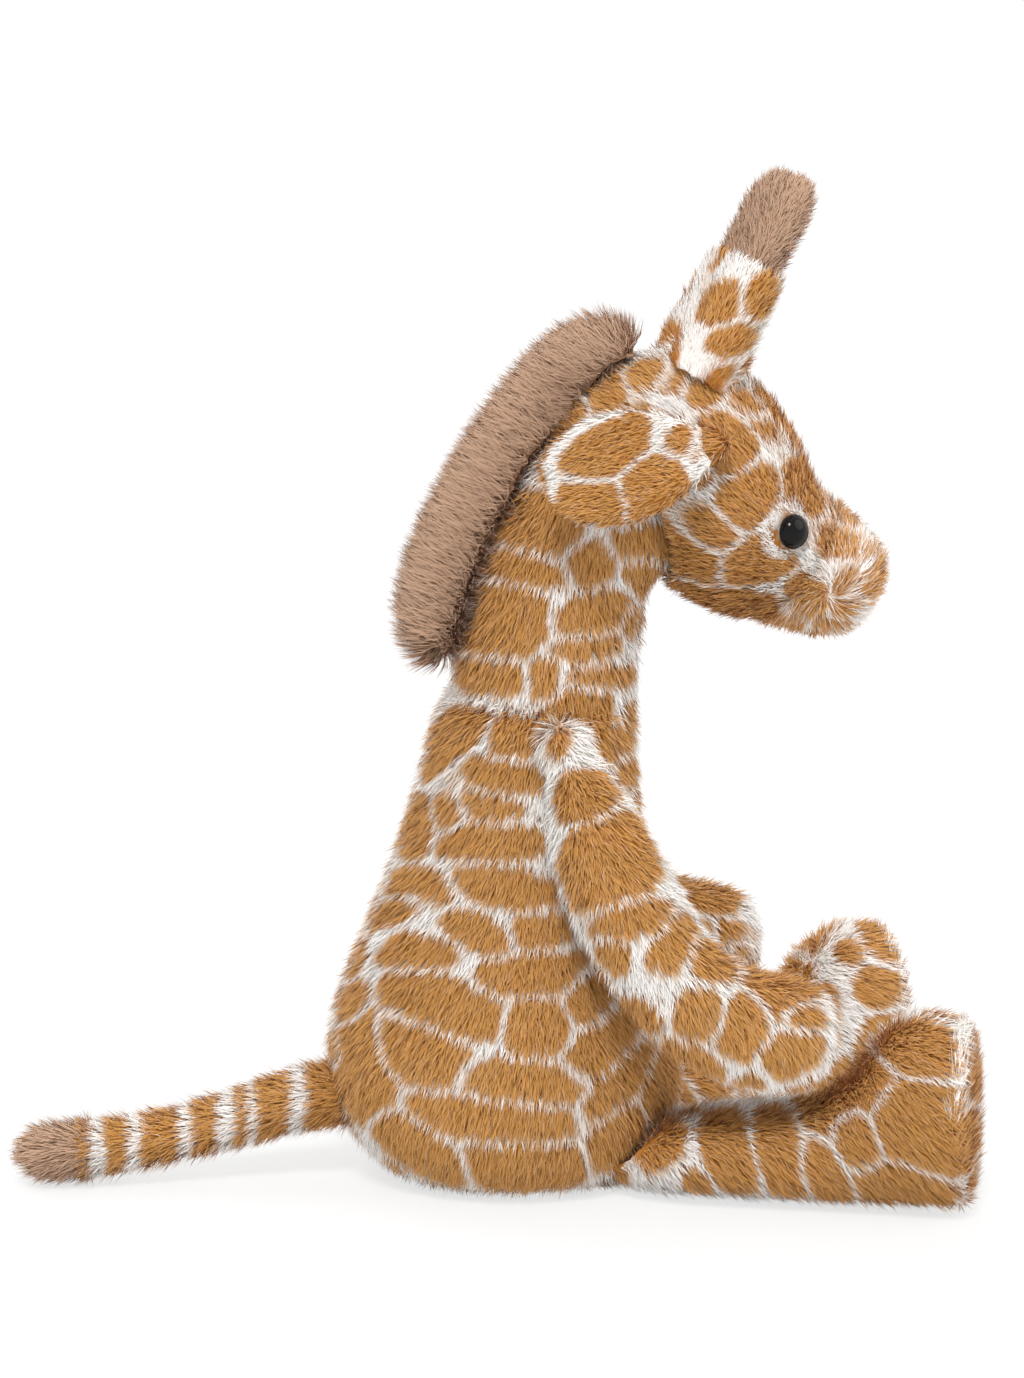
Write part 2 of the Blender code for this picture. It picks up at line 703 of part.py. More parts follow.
def make_horn(side_name, side, head):
    """A cover whose round root turns in a shallow seat in the head, with the brown tip in its collar."""
    axis = horn_axis()
    start = HEAD_CENTRE + Vector((HORN_AHEAD, HORN_SPREAD * side, 0))
    hit, _ = surface_hit(head, start, UPWARD)
    pivot = hit + UPWARD * HORN_STAND
    radius = HORN_WIDTH / 2
    cover_rings = straight_rings(pivot, axis, HORN_COVER_SHARES, HORN_COLLAR, HORN_WIDTH)
    skin = soft_form(f"horn_cover_{side_name}", cover_rings, HORN_SIDES, PARTS, PLUSH_CLOTH)
    root_ball = ball(f"horn_root_{side_name}", pivot, radius, ROOT_SIDES)
    boolean(skin, root_ball, "UNION")
    hollow_name = f"horn_hollow_{side_name}"
    hollow = soft_form(hollow_name, cover_rings, HORN_SIDES, CUTTERS, inset=SHORT_PLUSH, smooth=False)
    boolean(skin, hollow)
    tip_root = pivot + axis * HORN_COLLAR
    tip_length = HORN_LENGTH - HORN_COLLAR
    tip_rings = straight_rings(tip_root, axis, HORN_TIP_SHARES, tip_length, HORN_TIP_WIDTH)
    tip = soft_form(f"horn_tip_{side_name}", tip_rings, HORN_SIDES, PARTS, MANE_CLOTH)
    seat = soft_form(f"horn_tip_seat_{side_name}", tip_rings, HORN_SIDES, CUTTERS, inset=-GAP)
    boolean(skin, seat)
    low_end = pivot - axis * HORN_WIDTH
    high_end = pivot + axis * radius
    bore = rod(f"horn_base_opening_{side_name}", low_end, high_end, radius - SHORT_PLUSH)
    boolean(skin, bore)
    fill = stuffing(f"horn_stuffing_{side_name}", cover_rings, HORN_SIDES, SHORT_PLUSH)
    boolean(fill, seat)
    return pivot, skin, tip, fill


# Arms
def arm_rings(side):
    centres = []
    halves = []
    for run, out, fall, width, thick in ARM_SHARES:
        offset = Vector((run * ARM_RUN, out * ARM_OUT, -fall * ARM_FALL))
        centres.append(mirrored(ARM_PIVOT + offset, side))
        halves.append((width * ARM_WIDTH / 2, thick * ARM_THICKNESS / 2))
    return path_rings(centres, SIDEWAYS, halves)


def make_arm(side_name, side):
    """The arm, cut where it lies on the torso and on the leg, and open where it is sewn to the shoulder."""
    rings = arm_rings(side)
    skin = cover(f"arm_cover_{side_name}", rings, ARM_SIDES, PLUSH, PLUSH_CLOTH)
    fill = stuffing(f"arm_stuffing_{side_name}", rings, ARM_SIDES, PLUSH)
    flank = soft_form(f"torso_beside_arm_{side_name}", torso_rings(), TORSO_SIDES, CUTTERS, inset=-GAP)
    thigh = soft_form(f"leg_under_arm_{side_name}", leg_rings(side), LEG_SIDES, CUTTERS, inset=-GAP)
    inside = rings[SHOULDER_RING][0]
    middle = Vector((inside.x, 0, inside.z))
    opening = rod(f"shoulder_opening_{side_name}", middle, inside, SHOULDER_BORE / 2)
    for cutter in (flank, thigh):
        boolean(skin, cutter)
        boolean(fill, cutter)
    boolean(skin, opening)
    return skin, fill


# Legs
def leg_axes(side):
    along = Vector((math.cos(LEG_SPLAY), side * math.sin(LEG_SPLAY), 0))
    return along, UPWARD.cross(along)


def hip_pivot(side):
    """The rear end of the leg, low down, so that nothing of it rises as the foot comes down."""
    along, _ = leg_axes(side)
    return mirrored(HIP, side) + along * (LEG_SHARES[0][0] * LEG_LENGTH)


def leg_rings(side):
    along, across = leg_axes(side)
    floor = Vector((HIP.x, HIP.y * side, 0))
    rings = []
    for place, top, width in LEG_SHARES:
        high = top * FOOT_HEIGHT + SEAT_CUT
        centre = floor + along * (place * LEG_LENGTH) + UPWARD * (high / 2 - SEAT_CUT)
        rings.append(ring(centre, across, UPWARD, width * FOOT_WIDTH / 2, high / 2))
    return rings


def make_leg(side_name, side):
    """The leg, cut by the torso that it is sewn to, with the sole as a panel of its own."""
    rings = leg_rings(side)
    along, _ = leg_axes(side)
    at_sole = Vector((HIP.x, HIP.y * side, 0)) + along * (LEG_LENGTH - SOLE_DEPTH)
    skin = cover(f"leg_cover_{side_name}", rings, LEG_SIDES, PLUSH, PLUSH_CLOTH)
    fill = stuffing(f"leg_stuffing_{side_name}", rings, LEG_SIDES, PLUSH)
    sole = soft_form(f"sole_{side_name}", rings, LEG_SIDES, PARTS, PLUSH_CLOTH)
    belly = soft_form(f"torso_before_leg_{side_name}", torso_rings(), TORSO_SIDES, CUTTERS, inset=-GAP)
    past_sole = half_space(f"past_sole_seam_{side_name}", at_sole, along)
    before_sole = half_space(f"before_sole_seam_{side_name}", at_sole + along * GAP, -along)
    for piece in (skin, fill):
        boolean(piece, belly)
        boolean(piece, past_sole)
    boolean(sole, before_sole)
    for piece in (skin, fill, sole):
        boolean(piece, BELOW_FLOOR)
    return skin, fill, sole


# Tail
def make_tail(torso):
    hit, _ = surface_hit(torso, Vector((0, 0, TAIL_SOCKET_Z)), -FORWARD)
    pivot = hit - FORWARD * TAIL_STAND
    centres = []
    halves = []
    for run, fall, width in TAIL_SHARES:
        centres.append(pivot + Vector((-run * TAIL_RUN, 0, -fall * TAIL_FALL)))
        halves.append((width * TAIL_WIDTH / 2, width * TAIL_WIDTH / 2))
    rings = path_rings(centres, SIDEWAYS, halves)
    seam = Vector((pivot.x - TAIL_TIP_AT_SHARE * TAIL_RUN, 0, 0))
    beyond = half_space("beyond_tail_seam", seam, -FORWARD)
    short_of = half_space("short_of_tail_seam", seam - FORWARD * GAP, FORWARD)
    root = ball("tail_root", pivot, TAIL_WIDTH / 2, ROOT_SIDES)
    bore_radius = TAIL_WIDTH / 2 - SHORT_PLUSH
    bore_end = pivot - FORWARD * TAIL_WIDTH / 2
    open_at = rod("tail_root_opening", pivot + FORWARD * TAIL_WIDTH, bore_end, bore_radius)
    skin = soft_form("tail_cover", rings, TAIL_SIDES, PARTS, PLUSH_CLOTH)
    boolean(skin, root, "UNION")
    boolean(skin, beyond)
    tip = soft_form("tail_tip", rings, TAIL_SIDES, PARTS, MANE_CLOTH)
    boolean(tip, short_of)
    hollow = soft_form("tail_hollow", rings, TAIL_SIDES, CUTTERS, inset=SHORT_PLUSH, smooth=False)
    for piece in (skin, tip):
        boolean(piece, hollow)
    boolean(skin, open_at)
    fill = stuffing("tail_stuffing", rings, TAIL_SIDES, SHORT_PLUSH)
    return pivot, skin, tip, fill


clear_scene()
PARTS = new_collection("plush_giraffe")
CUTTERS = new_collection("cutters", hidden=True)
PLUSH_CLOTH = material("spotted plush", GOLD, 0.95)
MANE_CLOTH = material("taupe plush", TAUPE, 0.95)
FILL = material("polyester stuffing", FIBRE, 1.0)
EYE_PLASTIC = material("black eye plastic", BLACK, 0.06)
WASHER_PLASTIC = material("washer plastic", NYLON, 0.5)
BELOW_FLOOR = half_space("below_floor", Vector((0, 0, 0)), -UPWARD)
HEAD_SEAT = ball("head_seat", HEAD_PIVOT, NECK_BALL + NOD_CLEARANCE)

torso_back, torso_front, torso_fill = make_torso()
neck_skin, neck_fill = make_neck()
relieve_throat(neck_skin)

whole_head = soft_form("whole_head", head_rings(), HEAD_SIDES, CUTTERS)
head_along = Vector((math.cos(HEAD_DROOP), 0, -math.sin(HEAD_DROOP)))
muzzle_at = HEAD_CENTRE + head_along * MUZZLE_SEAM
head_skin = cover("head_cover", head_rings(), HEAD_SIDES, PLUSH, PLUSH_CLOTH)
muzzle = cover("muzzle_cover", head_rings(), HEAD_SIDES, PLUSH, PLUSH_CLOTH)
head_fill = stuffing("head_stuffing", head_rings(), HEAD_SIDES, PLUSH)
boolean(head_skin, half_space("past_muzzle_seam", muzzle_at, head_along))
boolean(muzzle, half_space("before_muzzle_seam", muzzle_at + head_along * GAP, -head_along))
boolean(head_skin, HEAD_SEAT)
boolean(head_fill, HEAD_SEAT)
head_pieces = [head_skin, muzzle, head_fill]

head_pivot = pivot_empty("head_pivot", HEAD_PIVOT, -SIDEWAYS, -NOD_DOWN, NOD_UP)
neck_pivot = pivot_empty("neck_pivot", NECK_BASE, neck_up(), -NECK_SWING, NECK_SWING)
mane = make_mane()
for side_name, side in SIDES:
    eye, washer, pocket = make_eye(side_name, side, whole_head)
    boolean(head_skin, pocket)
    boolean(head_fill, pocket)
    head_pieces += [eye, washer]

    ear_at, ear_back, ear_lining = make_ear(side_name, side, whole_head)
    ear_socket = socket(f"ear_socket_{side_name}", ear_at, EAR_ROOT / 2)
    boolean(head_skin, ear_socket)
    ear_pivot = pivot_empty(f"ear_pivot_{side_name}", ear_at, ear_up() * -side, 0.0, EAR_OPEN)
    hang(ear_pivot, ear_back, ear_lining)

    horn_at, horn_skin, horn_tip, horn_fill = make_horn(side_name, side, whole_head)
    horn_socket = socket(f"horn_socket_{side_name}", horn_at, HORN_WIDTH / 2)
    boolean(head_skin, horn_socket)
    boolean(head_fill, horn_socket)
    horn_pivot = pivot_empty(f"horn_pivot_{side_name}", horn_at, SIDEWAYS, -HORN_SWING, HORN_SWING)
    hang(horn_pivot, horn_skin, horn_tip, horn_fill)

    shoulder = mirrored(ARM_PIVOT, side)
    arm_pivot = pivot_empty(f"arm_pivot_{side_name}", shoulder, FORWARD * side, 0.0, ARM_LIFT)
    hang(arm_pivot, *make_arm(side_name, side))

    leg_pivot = pivot_empty(f"hip_{side_name}", hip_pivot(side), leg_axes(side)[1], 0.0, LEG_DROP)
    hang(leg_pivot, *make_leg(side_name, side))

whole_torso = soft_form("whole_torso", torso_rings(), TORSO_SIDES, CUTTERS)
tail_at, tail_skin, tail_tip, tail_fill = make_tail(whole_torso)
tail_socket = socket("tail_socket", tail_at, TAIL_WIDTH / 2)
boolean(torso_back, tail_socket)
boolean(torso_fill, tail_socket)
tail_pivot = pivot_empty("tail_pivot", tail_at, UPWARD, -TAIL_SWING, TAIL_SWING)
hang(tail_pivot, tail_skin, tail_tip, tail_fill)
hang(neck_pivot, neck_skin, neck_fill, mane)
hang(head_pivot, *head_pieces)

for thing in PARTS.objects:
    if thing.type == "EMPTY":
        print(thing.name, [round(value / MM, 3) for value in thing.location])
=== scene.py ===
# %% [markdown]
# # A sitting plush giraffe
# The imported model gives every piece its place. Here each stuffed piece gets its cloth skin and its fur. A
# sewn toy is smooth cloth under a short pile, so each skin is made first, and the pile is planted on it.

# %% Load the frame
import json
import math

import bmesh
import bpy
import numpy as np
from mathutils import Color, Matrix, Vector
from mathutils.bvhtree import BVHTree


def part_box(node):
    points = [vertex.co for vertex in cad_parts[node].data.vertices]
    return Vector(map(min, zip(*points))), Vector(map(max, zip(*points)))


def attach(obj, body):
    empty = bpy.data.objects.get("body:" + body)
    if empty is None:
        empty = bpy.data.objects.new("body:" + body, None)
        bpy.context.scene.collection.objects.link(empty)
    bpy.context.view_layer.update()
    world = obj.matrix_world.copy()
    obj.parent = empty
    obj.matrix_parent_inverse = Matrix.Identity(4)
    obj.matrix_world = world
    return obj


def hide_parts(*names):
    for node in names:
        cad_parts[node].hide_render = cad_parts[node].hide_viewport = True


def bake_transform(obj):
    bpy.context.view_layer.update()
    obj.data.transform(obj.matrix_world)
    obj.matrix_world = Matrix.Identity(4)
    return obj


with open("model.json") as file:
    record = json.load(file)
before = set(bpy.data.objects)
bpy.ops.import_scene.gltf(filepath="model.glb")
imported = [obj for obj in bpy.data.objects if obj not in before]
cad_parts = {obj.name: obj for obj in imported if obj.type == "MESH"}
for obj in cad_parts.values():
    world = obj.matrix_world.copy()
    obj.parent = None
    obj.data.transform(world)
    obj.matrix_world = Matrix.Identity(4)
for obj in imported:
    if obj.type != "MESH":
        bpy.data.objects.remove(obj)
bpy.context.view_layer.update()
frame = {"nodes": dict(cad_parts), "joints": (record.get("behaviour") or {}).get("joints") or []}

MM = 0.001
SIDES = (("left", 1), ("right", -1))

# %% [markdown]
# ## Camera
# The toy is seen from its right, a little from behind and from above. A camera could be moved by hand until
# the picture fits. Here it is placed from that direction, its distance and the pixel of the photograph at
# which the toy's origin lies, because then any other pixel can be turned into a ray, and spots can be
# placed.

# %% Camera
PHOTO_WIDTH = 1024
PHOTO_HEIGHT = 1378
ORIGIN_PIXEL = (500, 1170)
AZIMUTH = math.radians(7)
ELEVATION = math.radians(10)
DISTANCE = 1550 * MM
METRES_A_PIXEL = 0.35 * MM
SENSOR = 36

LEVEL = Vector((math.sin(AZIMUTH), math.cos(AZIMUTH), 0))
FORWARD = LEVEL * math.cos(ELEVATION) - Vector((0, 0, math.sin(ELEVATION)))
RIGHT = Vector((math.cos(AZIMUTH), -math.sin(AZIMUTH), 0))
UP = RIGHT.cross(FORWARD)
FOCAL_PIXELS = DISTANCE / METRES_A_PIXEL
across = (ORIGIN_PIXEL[0] - PHOTO_WIDTH / 2) * METRES_A_PIXEL
rise = (PHOTO_HEIGHT / 2 - ORIGIN_PIXEL[1]) * METRES_A_PIXEL
EYE_POINT = -(RIGHT * across + UP * rise + FORWARD * DISTANCE)


def placed(name, data):
    """A new object in the scene."""
    made = bpy.data.objects.new(name, data)
    bpy.context.scene.collection.objects.link(made)
    return made


camera = placed("camera", bpy.data.cameras.new("camera"))
camera.data.sensor_width = SENSOR
camera.data.lens = SENSOR * FOCAL_PIXELS / PHOTO_HEIGHT
camera.matrix_world = Matrix.Translation(EYE_POINT) @ Matrix((RIGHT, UP, -FORWARD)).transposed().to_4x4()
bpy.context.scene.camera = camera
bpy.context.scene.view_settings.view_transform = "Standard"
print("camera lens", round(camera.data.lens, 1))


def pixel_ray(x, y):
    """The way from the camera through a pixel of the photograph."""
    aside = (x - PHOTO_WIDTH / 2) / FOCAL_PIXELS
    above = (PHOTO_HEIGHT / 2 - y) / FOCAL_PIXELS
    return (FORWARD + RIGHT * aside + UP * above).normalized()


# %% [markdown]
# ## Studio
# The photograph shows no edge of a floor. Lamps that bleach a floor to white would bleach the plush as
# well. So to the camera the floor glows a little, just enough to reach white, while it still takes the
# toy's soft shadow, and to the toy it is plain pale paper.

# %% Floor finish
def set_inputs(node, values):
    """Sets inputs of a node by name, where _ stands for a space."""
    for name, value in values.items():
        node.inputs[name.replace("_", " ")].default_value = value
    return node


def new_node(nodes, kind, **values):
    return set_inputs(nodes.new(f"ShaderNode{kind}"), values)


def shader_nodes(name, **values):
    """A new material whose shader has these inputs, with its nodes and links."""
    made = bpy.data.materials.new(name)
    made.use_nodes = True
    nodes = made.node_tree.nodes
    set_inputs(nodes["Principled BSDF"], values)
    return made, nodes, made.node_tree.links


def seen_directly(nodes, links):
    """1 for what the camera sees itself, in a reflection or through something clear, otherwise 0."""
    path = new_node(nodes, "LightPath")
    total = path.outputs["Is Camera Ray"]
    for kind in ("Is Glossy Ray", "Is Transmission Ray"):
        joined = new_node(nodes, "Math")
        joined.operation = "MAXIMUM"
        links.new(total, joined.inputs[0])
        links.new(path.outputs[kind], joined.inputs[1])
        total = joined.outputs[0]
    return total


FLOOR_HALF = 6.0
FLOOR_GLOW = 0.72
FLOOR_PAPER = (0.25, 0.25, 0.25, 1)
FLOOR_PLAIN = (0.85, 0.85, 0.85, 1)
floor_finish, nodes, links = shader_nodes("floor")
nodes.clear()
glow = new_node(nodes, "Emission", Strength=FLOOR_GLOW)
paper = new_node(nodes, "BsdfDiffuse", Color=FLOOR_PAPER)
plain = new_node(nodes, "BsdfDiffuse", Color=FLOOR_PLAIN)
shown = new_node(nodes, "AddShader")
pick = new_node(nodes, "MixShader")
out = new_node(nodes, "OutputMaterial")
links.new(glow.outputs[0], shown.inputs[0])
links.new(paper.outputs[0], shown.inputs[1])
links.new(seen_directly(nodes, links), pick.inputs[0])
links.new(plain.outputs[0], pick.inputs[1])
links.new(shown.outputs[0], pick.inputs[2])
links.new(pick.outputs[0], out.inputs["Surface"])
print("floor finish:", len(nodes), "nodes")

# %% Floor
def as_mesh(name, shape):
    """A mesh of a shape, which is then let go."""
    mesh = bpy.data.meshes.new(name)
    shape.to_mesh(mesh)
    shape.free()
    return mesh


shape = bmesh.new()
bmesh.ops.create_grid(shape, x_segments=1, y_segments=1, size=FLOOR_HALF)
floor_mesh = as_mesh("floor", shape)
floor_mesh.materials.append(floor_finish)
floor = placed("floor", floor_mesh)
print("floor:", 2 * FLOOR_HALF, "m wide")

# %% [markdown]
# ## Light
# Big soft boxes light such a photograph from all round. An area lamp would need a place and a size. A sun
# of wide angle gives the same soft shading with neither, and the world's pale light fills what it leaves
# dark.

# %% World
WORLD_LIGHT = 0.62
SEEN_LIGHT = 1.0
WHITE = (1, 1, 1, 1)
world = bpy.data.worlds.new("studio")
world.use_nodes = True
bpy.context.scene.world = world
nodes = world.node_tree.nodes
links = world.node_tree.links
strength = new_node(nodes, "MapRange", To_Min=WORLD_LIGHT, To_Max=SEEN_LIGHT)
set_inputs(nodes["Background"], {"Color": WHITE})
links.new(seen_directly(nodes, links), strength.inputs["Value"])
links.new(strength.outputs["Result"], nodes["Background"].inputs["Strength"])
print("world light:", WORLD_LIGHT)

# %% Lamps
# Each row: name, where the light comes from, how strong it is and how wide it looks in degrees
LAMPS = (
    ("key", (-0.25, -1.0, 1.25), 1.9, 16),
    ("front", (1.3, -0.5, 0.9), 0.8, 50),
    ("back", (-0.6, 1.2, 1.2), 0.7, 50),
)
for name, place, power, width in LAMPS:
    light = bpy.data.lights.new(name, "SUN")
    light.energy = power
    light.angle = math.radians(width)
    lamp = placed(name, light)
    lamp.location = place
    lamp.rotation_euler = (-Vector(place)).to_track_quat("-Z", "Y").to_euler()
print("lamps:", len(LAMPS))

# %% [markdown]
# ## Colours
# The toy is cream plush printed with gold, and taupe plush on mane, horn tips and tail. Pile is darker at
# its root, where less light comes in, so each dye has two tones: its own at the tip and a painted shade at
# the root. They are written as they look on a screen.

# %% Colours
FULL_LEVEL = 255


def dye(*levels):
    """A colour as it looks, in 0 to 255, turned to the linear values that a shader takes."""
    shown = Color([level / FULL_LEVEL for level in levels])
    return (*shown.from_srgb_to_scene_linear(), 1.0)


# Each root tone is the dye darkened by a painted shade
GOLD_TIP = dye(218, 163, 92)
GOLD_SHADED_ROOT = dye(184, 120, 52)
CREAM_TIP = dye(255, 253, 250)
CREAM_SHADED_ROOT = dye(250, 245, 239)
TAUPE_TIP = dye(212, 177, 150)
TAUPE_SHADED_ROOT = dye(182, 146, 118)
BLACK = dye(9, 7, 6)
NYLON = dye(225, 225, 220)
FIBRE = dye(240, 240, 238)
print("gold tip:", [round(value, 3) for value in GOLD_TIP])

# %% [markdown]
# ## Plush
# The print is dyed into the pile. An image could carry it, but it would slide where the cloth bends. So one
# finish dyes all the spotted plush, and each strand knows whether it was dyed gold or left cream, how far
# up the strand a point is and its own shade. They are kept as attributes, and the dye follows the cloth.

# %% Plush finishes
COLOUR_A = 6
COLOUR_B = 7
MIXED_COLOUR = 2
DARKEST_STRAND = 0.93
LIGHTEST_STRAND = 1.05
FUR = dict(Roughness=0.85, Specular_IOR_Level=0.15, Sheen_Weight=0.12, Sheen_Roughness=0.5)


def attribute(nodes, name):
    made = new_node(nodes, "Attribute")
    made.attribute_name = name
    return made.outputs["Fac"]


def feed(links, socket, value):
    """Gives a socket a colour, or the colour that another node works out."""
    if isinstance(value, tuple):
        socket.default_value = value
    else:
        links.new(value, socket)


def mixed(nodes, links, factor, first, second):
    made = new_node(nodes, "Mix")
    made.data_type = "RGBA"
    links.new(factor, made.inputs["Factor"])
    feed(links, made.inputs[COLOUR_A], first)
    feed(links, made.inputs[COLOUR_B], second)
    return made.outputs[MIXED_COLOUR]


def strand_shade(nodes, links, colour):
    """Each strand a little lighter or darker than its neighbours."""
    spread = new_node(nodes, "MapRange", To_Min=DARKEST_STRAND, To_Max=LIGHTEST_STRAND)
    links.new(attribute(nodes, "shade"), spread.inputs["Value"])
    turn = new_node(nodes, "HueSaturation")
    links.new(spread.outputs["Result"], turn.inputs["Value"])
    links.new(colour, turn.inputs["Color"])
    return turn.outputs["Color"]


def plush_finish(name, root, tip, spot_root=None, spot_tip=None):
    """Pile with a painted shade at its root that fades into its own tone at the tip, with spots if their
    tones are given.
    """
    made, nodes, links = shader_nodes(name, **FUR)
    height = attribute(nodes, "height")
    colour = mixed(nodes, links, height, root, tip)
    if spot_root is not None:
        spot = mixed(nodes, links, height, spot_root, spot_tip)
        colour = mixed(nodes, links, attribute(nodes, "spot"), colour, spot)
    links.new(strand_shade(nodes, links, colour), nodes["Principled BSDF"].inputs["Base Color"])
    return made


spotted_fur = plush_finish("spotted fur", CREAM_SHADED_ROOT, CREAM_TIP, GOLD_SHADED_ROOT, GOLD_TIP)
taupe_fur = plush_finish("taupe fur", TAUPE_SHADED_ROOT, TAUPE_TIP)
print("plush finishes:", spotted_fur.name, "and", taupe_fur.name)

# %% [markdown]
# ## Cloth and plastic
# Under the pile is a knitted backing with small loops, and the eyes and washers are moulded plastic that is
# never quite even. A noise in the bump gives both their fine grain, coarse and deep on cloth, faint on
# plastic.

# %% Cloth finishes
GRAIN_DETAIL = 3
KNIT_SCALE = 900
KNIT_DEPTH = 0.3 * MM
SKIN = dict(Roughness=0.95, Specular_IOR_Level=0.1)


def grain(nodes, links, scale, depth):
    """A fine unevenness of the surface."""
    place = new_node(nodes, "TexCoord")
    noise = new_node(nodes, "TexNoise", Scale=scale, Detail=GRAIN_DETAIL)
    bump = new_node(nodes, "Bump", Distance=depth)
    links.new(place.outputs["Object"], noise.inputs["Vector"])
    links.new(noise.outputs["Fac"], bump.inputs["Height"])
    links.new(bump.outputs["Normal"], nodes["Principled BSDF"].inputs["Normal"])


def skin_finish(name, plain, spot=None):
    """Knitted backing cloth, with the print's spots if their dye is given."""
    made, nodes, links = shader_nodes(name, **SKIN)
    if spot is not None:
        plain = mixed(nodes, links, attribute(nodes, "spot"), plain, spot)
    feed(links, nodes["Principled BSDF"].inputs["Base Color"], plain)
    grain(nodes, links, KNIT_SCALE, KNIT_DEPTH)
    return made


# The backing cloth takes the root tones, so it carries their painted shade
spotted_skin = skin_finish("spotted cloth", CREAM_SHADED_ROOT, GOLD_SHADED_ROOT)
taupe_skin = skin_finish("taupe cloth", TAUPE_SHADED_ROOT)
fibre_finish = skin_finish("fibre fill", FIBRE)
print("finishes:", len(bpy.data.materials))

# %% Eye and washer finishes
MOULD_SCALE = 250
MOULD_DEPTH = 0.004 * MM


def plastic_finish(name, **values):
    made, nodes, links = shader_nodes(name, **values)
    grain(nodes, links, MOULD_SCALE, MOULD_DEPTH)
    return made


eye_finish = plastic_finish("eye plastic", Base_Color=BLACK, Roughness=0.05, Specular_IOR_Level=0.2)
washer_finish = plastic_finish("washer plastic", Base_Color=NYLON, Roughness=0.5, Specular_IOR_Level=0.4)
print("plastic finishes:", eye_finish.name, "and", washer_finish.name)

# %% [markdown]
# ## Cloth skins
# A skin is the outside of a cover. It could be drawn afresh, but the frame's solid already has its place
# and size. So the solid is filled, remeshed evenly and drawn in by the height of the pile, and the tips of
# the fur end at the size that the frame gives. Covers that are sewn to each other are made as one form,
# which is then cut at the seam, so that the form runs on across it.

# %% Remeshing evenly
def add_piece(name, mesh, finish):
    mesh.materials.clear()
    mesh.materials.append(finish)
    return placed(name, mesh)


def remeshed(mesh, voxel):
    """The mesh as one even skin of quads."""
    holder = placed("remesh", mesh)
    step = holder.modifiers.new("Even", "REMESH")
    step.mode = "VOXEL"
    step.voxel_size = voxel
    graph = bpy.context.evaluated_depsgraph_get()
    even = bpy.data.meshes.new_from_object(holder.evaluated_get(graph))
    bpy.data.objects.remove(holder)
    return even


def keep_outer(shape):
    """Keeps the closed skin with the most points, which is the outer one, and deletes those inside it."""
    left = set(shape.verts)
    islands = []
    while left:
        stack = [left.pop()]
        island = []
        while stack:
            vertex = stack.pop()
            island.append(vertex)
            for edge in vertex.link_edges:
                other = edge.other_vert(vertex)
                if other in left:
                    left.remove(other)
                    stack.append(other)
        islands.append(island)
    islands.sort(key=len)
    for island in islands[:-1]:
        bmesh.ops.delete(shape, geom=island, context="VERTS")


# %% Smoothing a form
SMOOTH_SHARE = 0.5
ALL_AXES = dict(use_axis_x=True, use_axis_y=True, use_axis_z=True)


def soften(shape, steps):
    """Draws each point towards its neighbours, so that the faceted solid turns round."""
    for _ in range(steps):
        bmesh.ops.smooth_vert(shape, verts=shape.verts, factor=SMOOTH_SHARE, **ALL_AXES)


def face_out(shape):
    """Turns the faces of a closed form outwards."""
    bmesh.ops.recalc_face_normals(shape, faces=shape.faces)
    if shape.calc_volume(signed=True) < 0:
        bmesh.ops.reverse_faces(shape, faces=shape.faces)


# %% From frame pieces to a smooth form
VOXEL = 3.0 * MM
CLOSE_GAPS = 0.5 * MM
WELD = 0.001 * MM
SMOOTH_STEPS = 5
LAST_STEPS = 2
BALL_ROUND = 24
BALL_HIGH = 16


def gathered(nodes, balls):
    """The meshes of some nodes and balls, swollen a little so that they meet."""
    shape = bmesh.new()
    for name in nodes:
        shape.from_mesh(frame["nodes"][name].data)
    for centre, radius in balls:
        place = Matrix.Translation(centre)
        parts = dict(u_segments=BALL_ROUND, v_segments=BALL_HIGH)
        bmesh.ops.create_uvsphere(shape, radius=radius, matrix=place, **parts)
    bmesh.ops.remove_doubles(shape, verts=shape.verts, dist=WELD)
    shape.normal_update()
    for vertex in shape.verts:
        vertex.co += vertex.normal * CLOSE_GAPS
    return as_mesh("gathered", shape)


def form_of(nodes, inset, voxel=VOXEL, smooth_steps=SMOOTH_STEPS, balls=()):
    """The outside of some nodes as a smooth closed form, drawn in by the height of its pile.

    The balls fill the seats that the frame leaves for its turning roots, where cloth runs on.
    """
    shape = bmesh.new()
    shape.from_mesh(remeshed(gathered(nodes, balls), voxel))
    keep_outer(shape)
    face_out(shape)
    soften(shape, smooth_steps)
    shape.normal_update()
    for vertex in shape.verts:
        vertex.co -= vertex.normal * (inset + CLOSE_GAPS)
    soften(shape, LAST_STEPS)
    return shape


# %% Seams, and roots drawn into what carries them
SEWN_STEEPNESS = 1.4


def seam_half(shape, point, normal):
    """The part of a form behind a seam's plane, closed there."""
    half = shape.copy()
    everything = list(half.verts) + list(half.edges) + list(half.faces)
    bmesh.ops.bisect_plane(half, geom=everything, plane_co=point, plane_no=normal, clear_outer=True)
    bmesh.ops.holes_fill(half, edges=[edge for edge in half.edges if edge.is_boundary], sides=0)
    face_out(half)
    return half


def eased(share):
    """A share from 0 to 1 that starts and ends gently."""
    return share * share * (3 - 2 * share)


def sew_on(shape, others, reach, depth):
    """Draws the foot of a form, which lies within reach of others, some depth down into them."""
    trees = [BVHTree.FromBMesh(other) for other in others]
    for vertex in shape.verts:
        found = [tree.find_nearest(vertex.co) for tree in trees]
        place, normal, _, away = min(found, key=lambda nearest: nearest[3])
        share = min(max(1 - away / reach, 0) * SEWN_STEEPNESS, 1)
        vertex.co -= normal * (depth * eased(share))


def draw_in(shape, point, way, reach, depth):
    """Draws the end of a form past a point into the piece that it is sewn to."""
    for vertex in shape.verts:
        share = min(max((vertex.co - point).dot(way) / reach, 0), 1)
        vertex.co += way * (depth * eased(share))


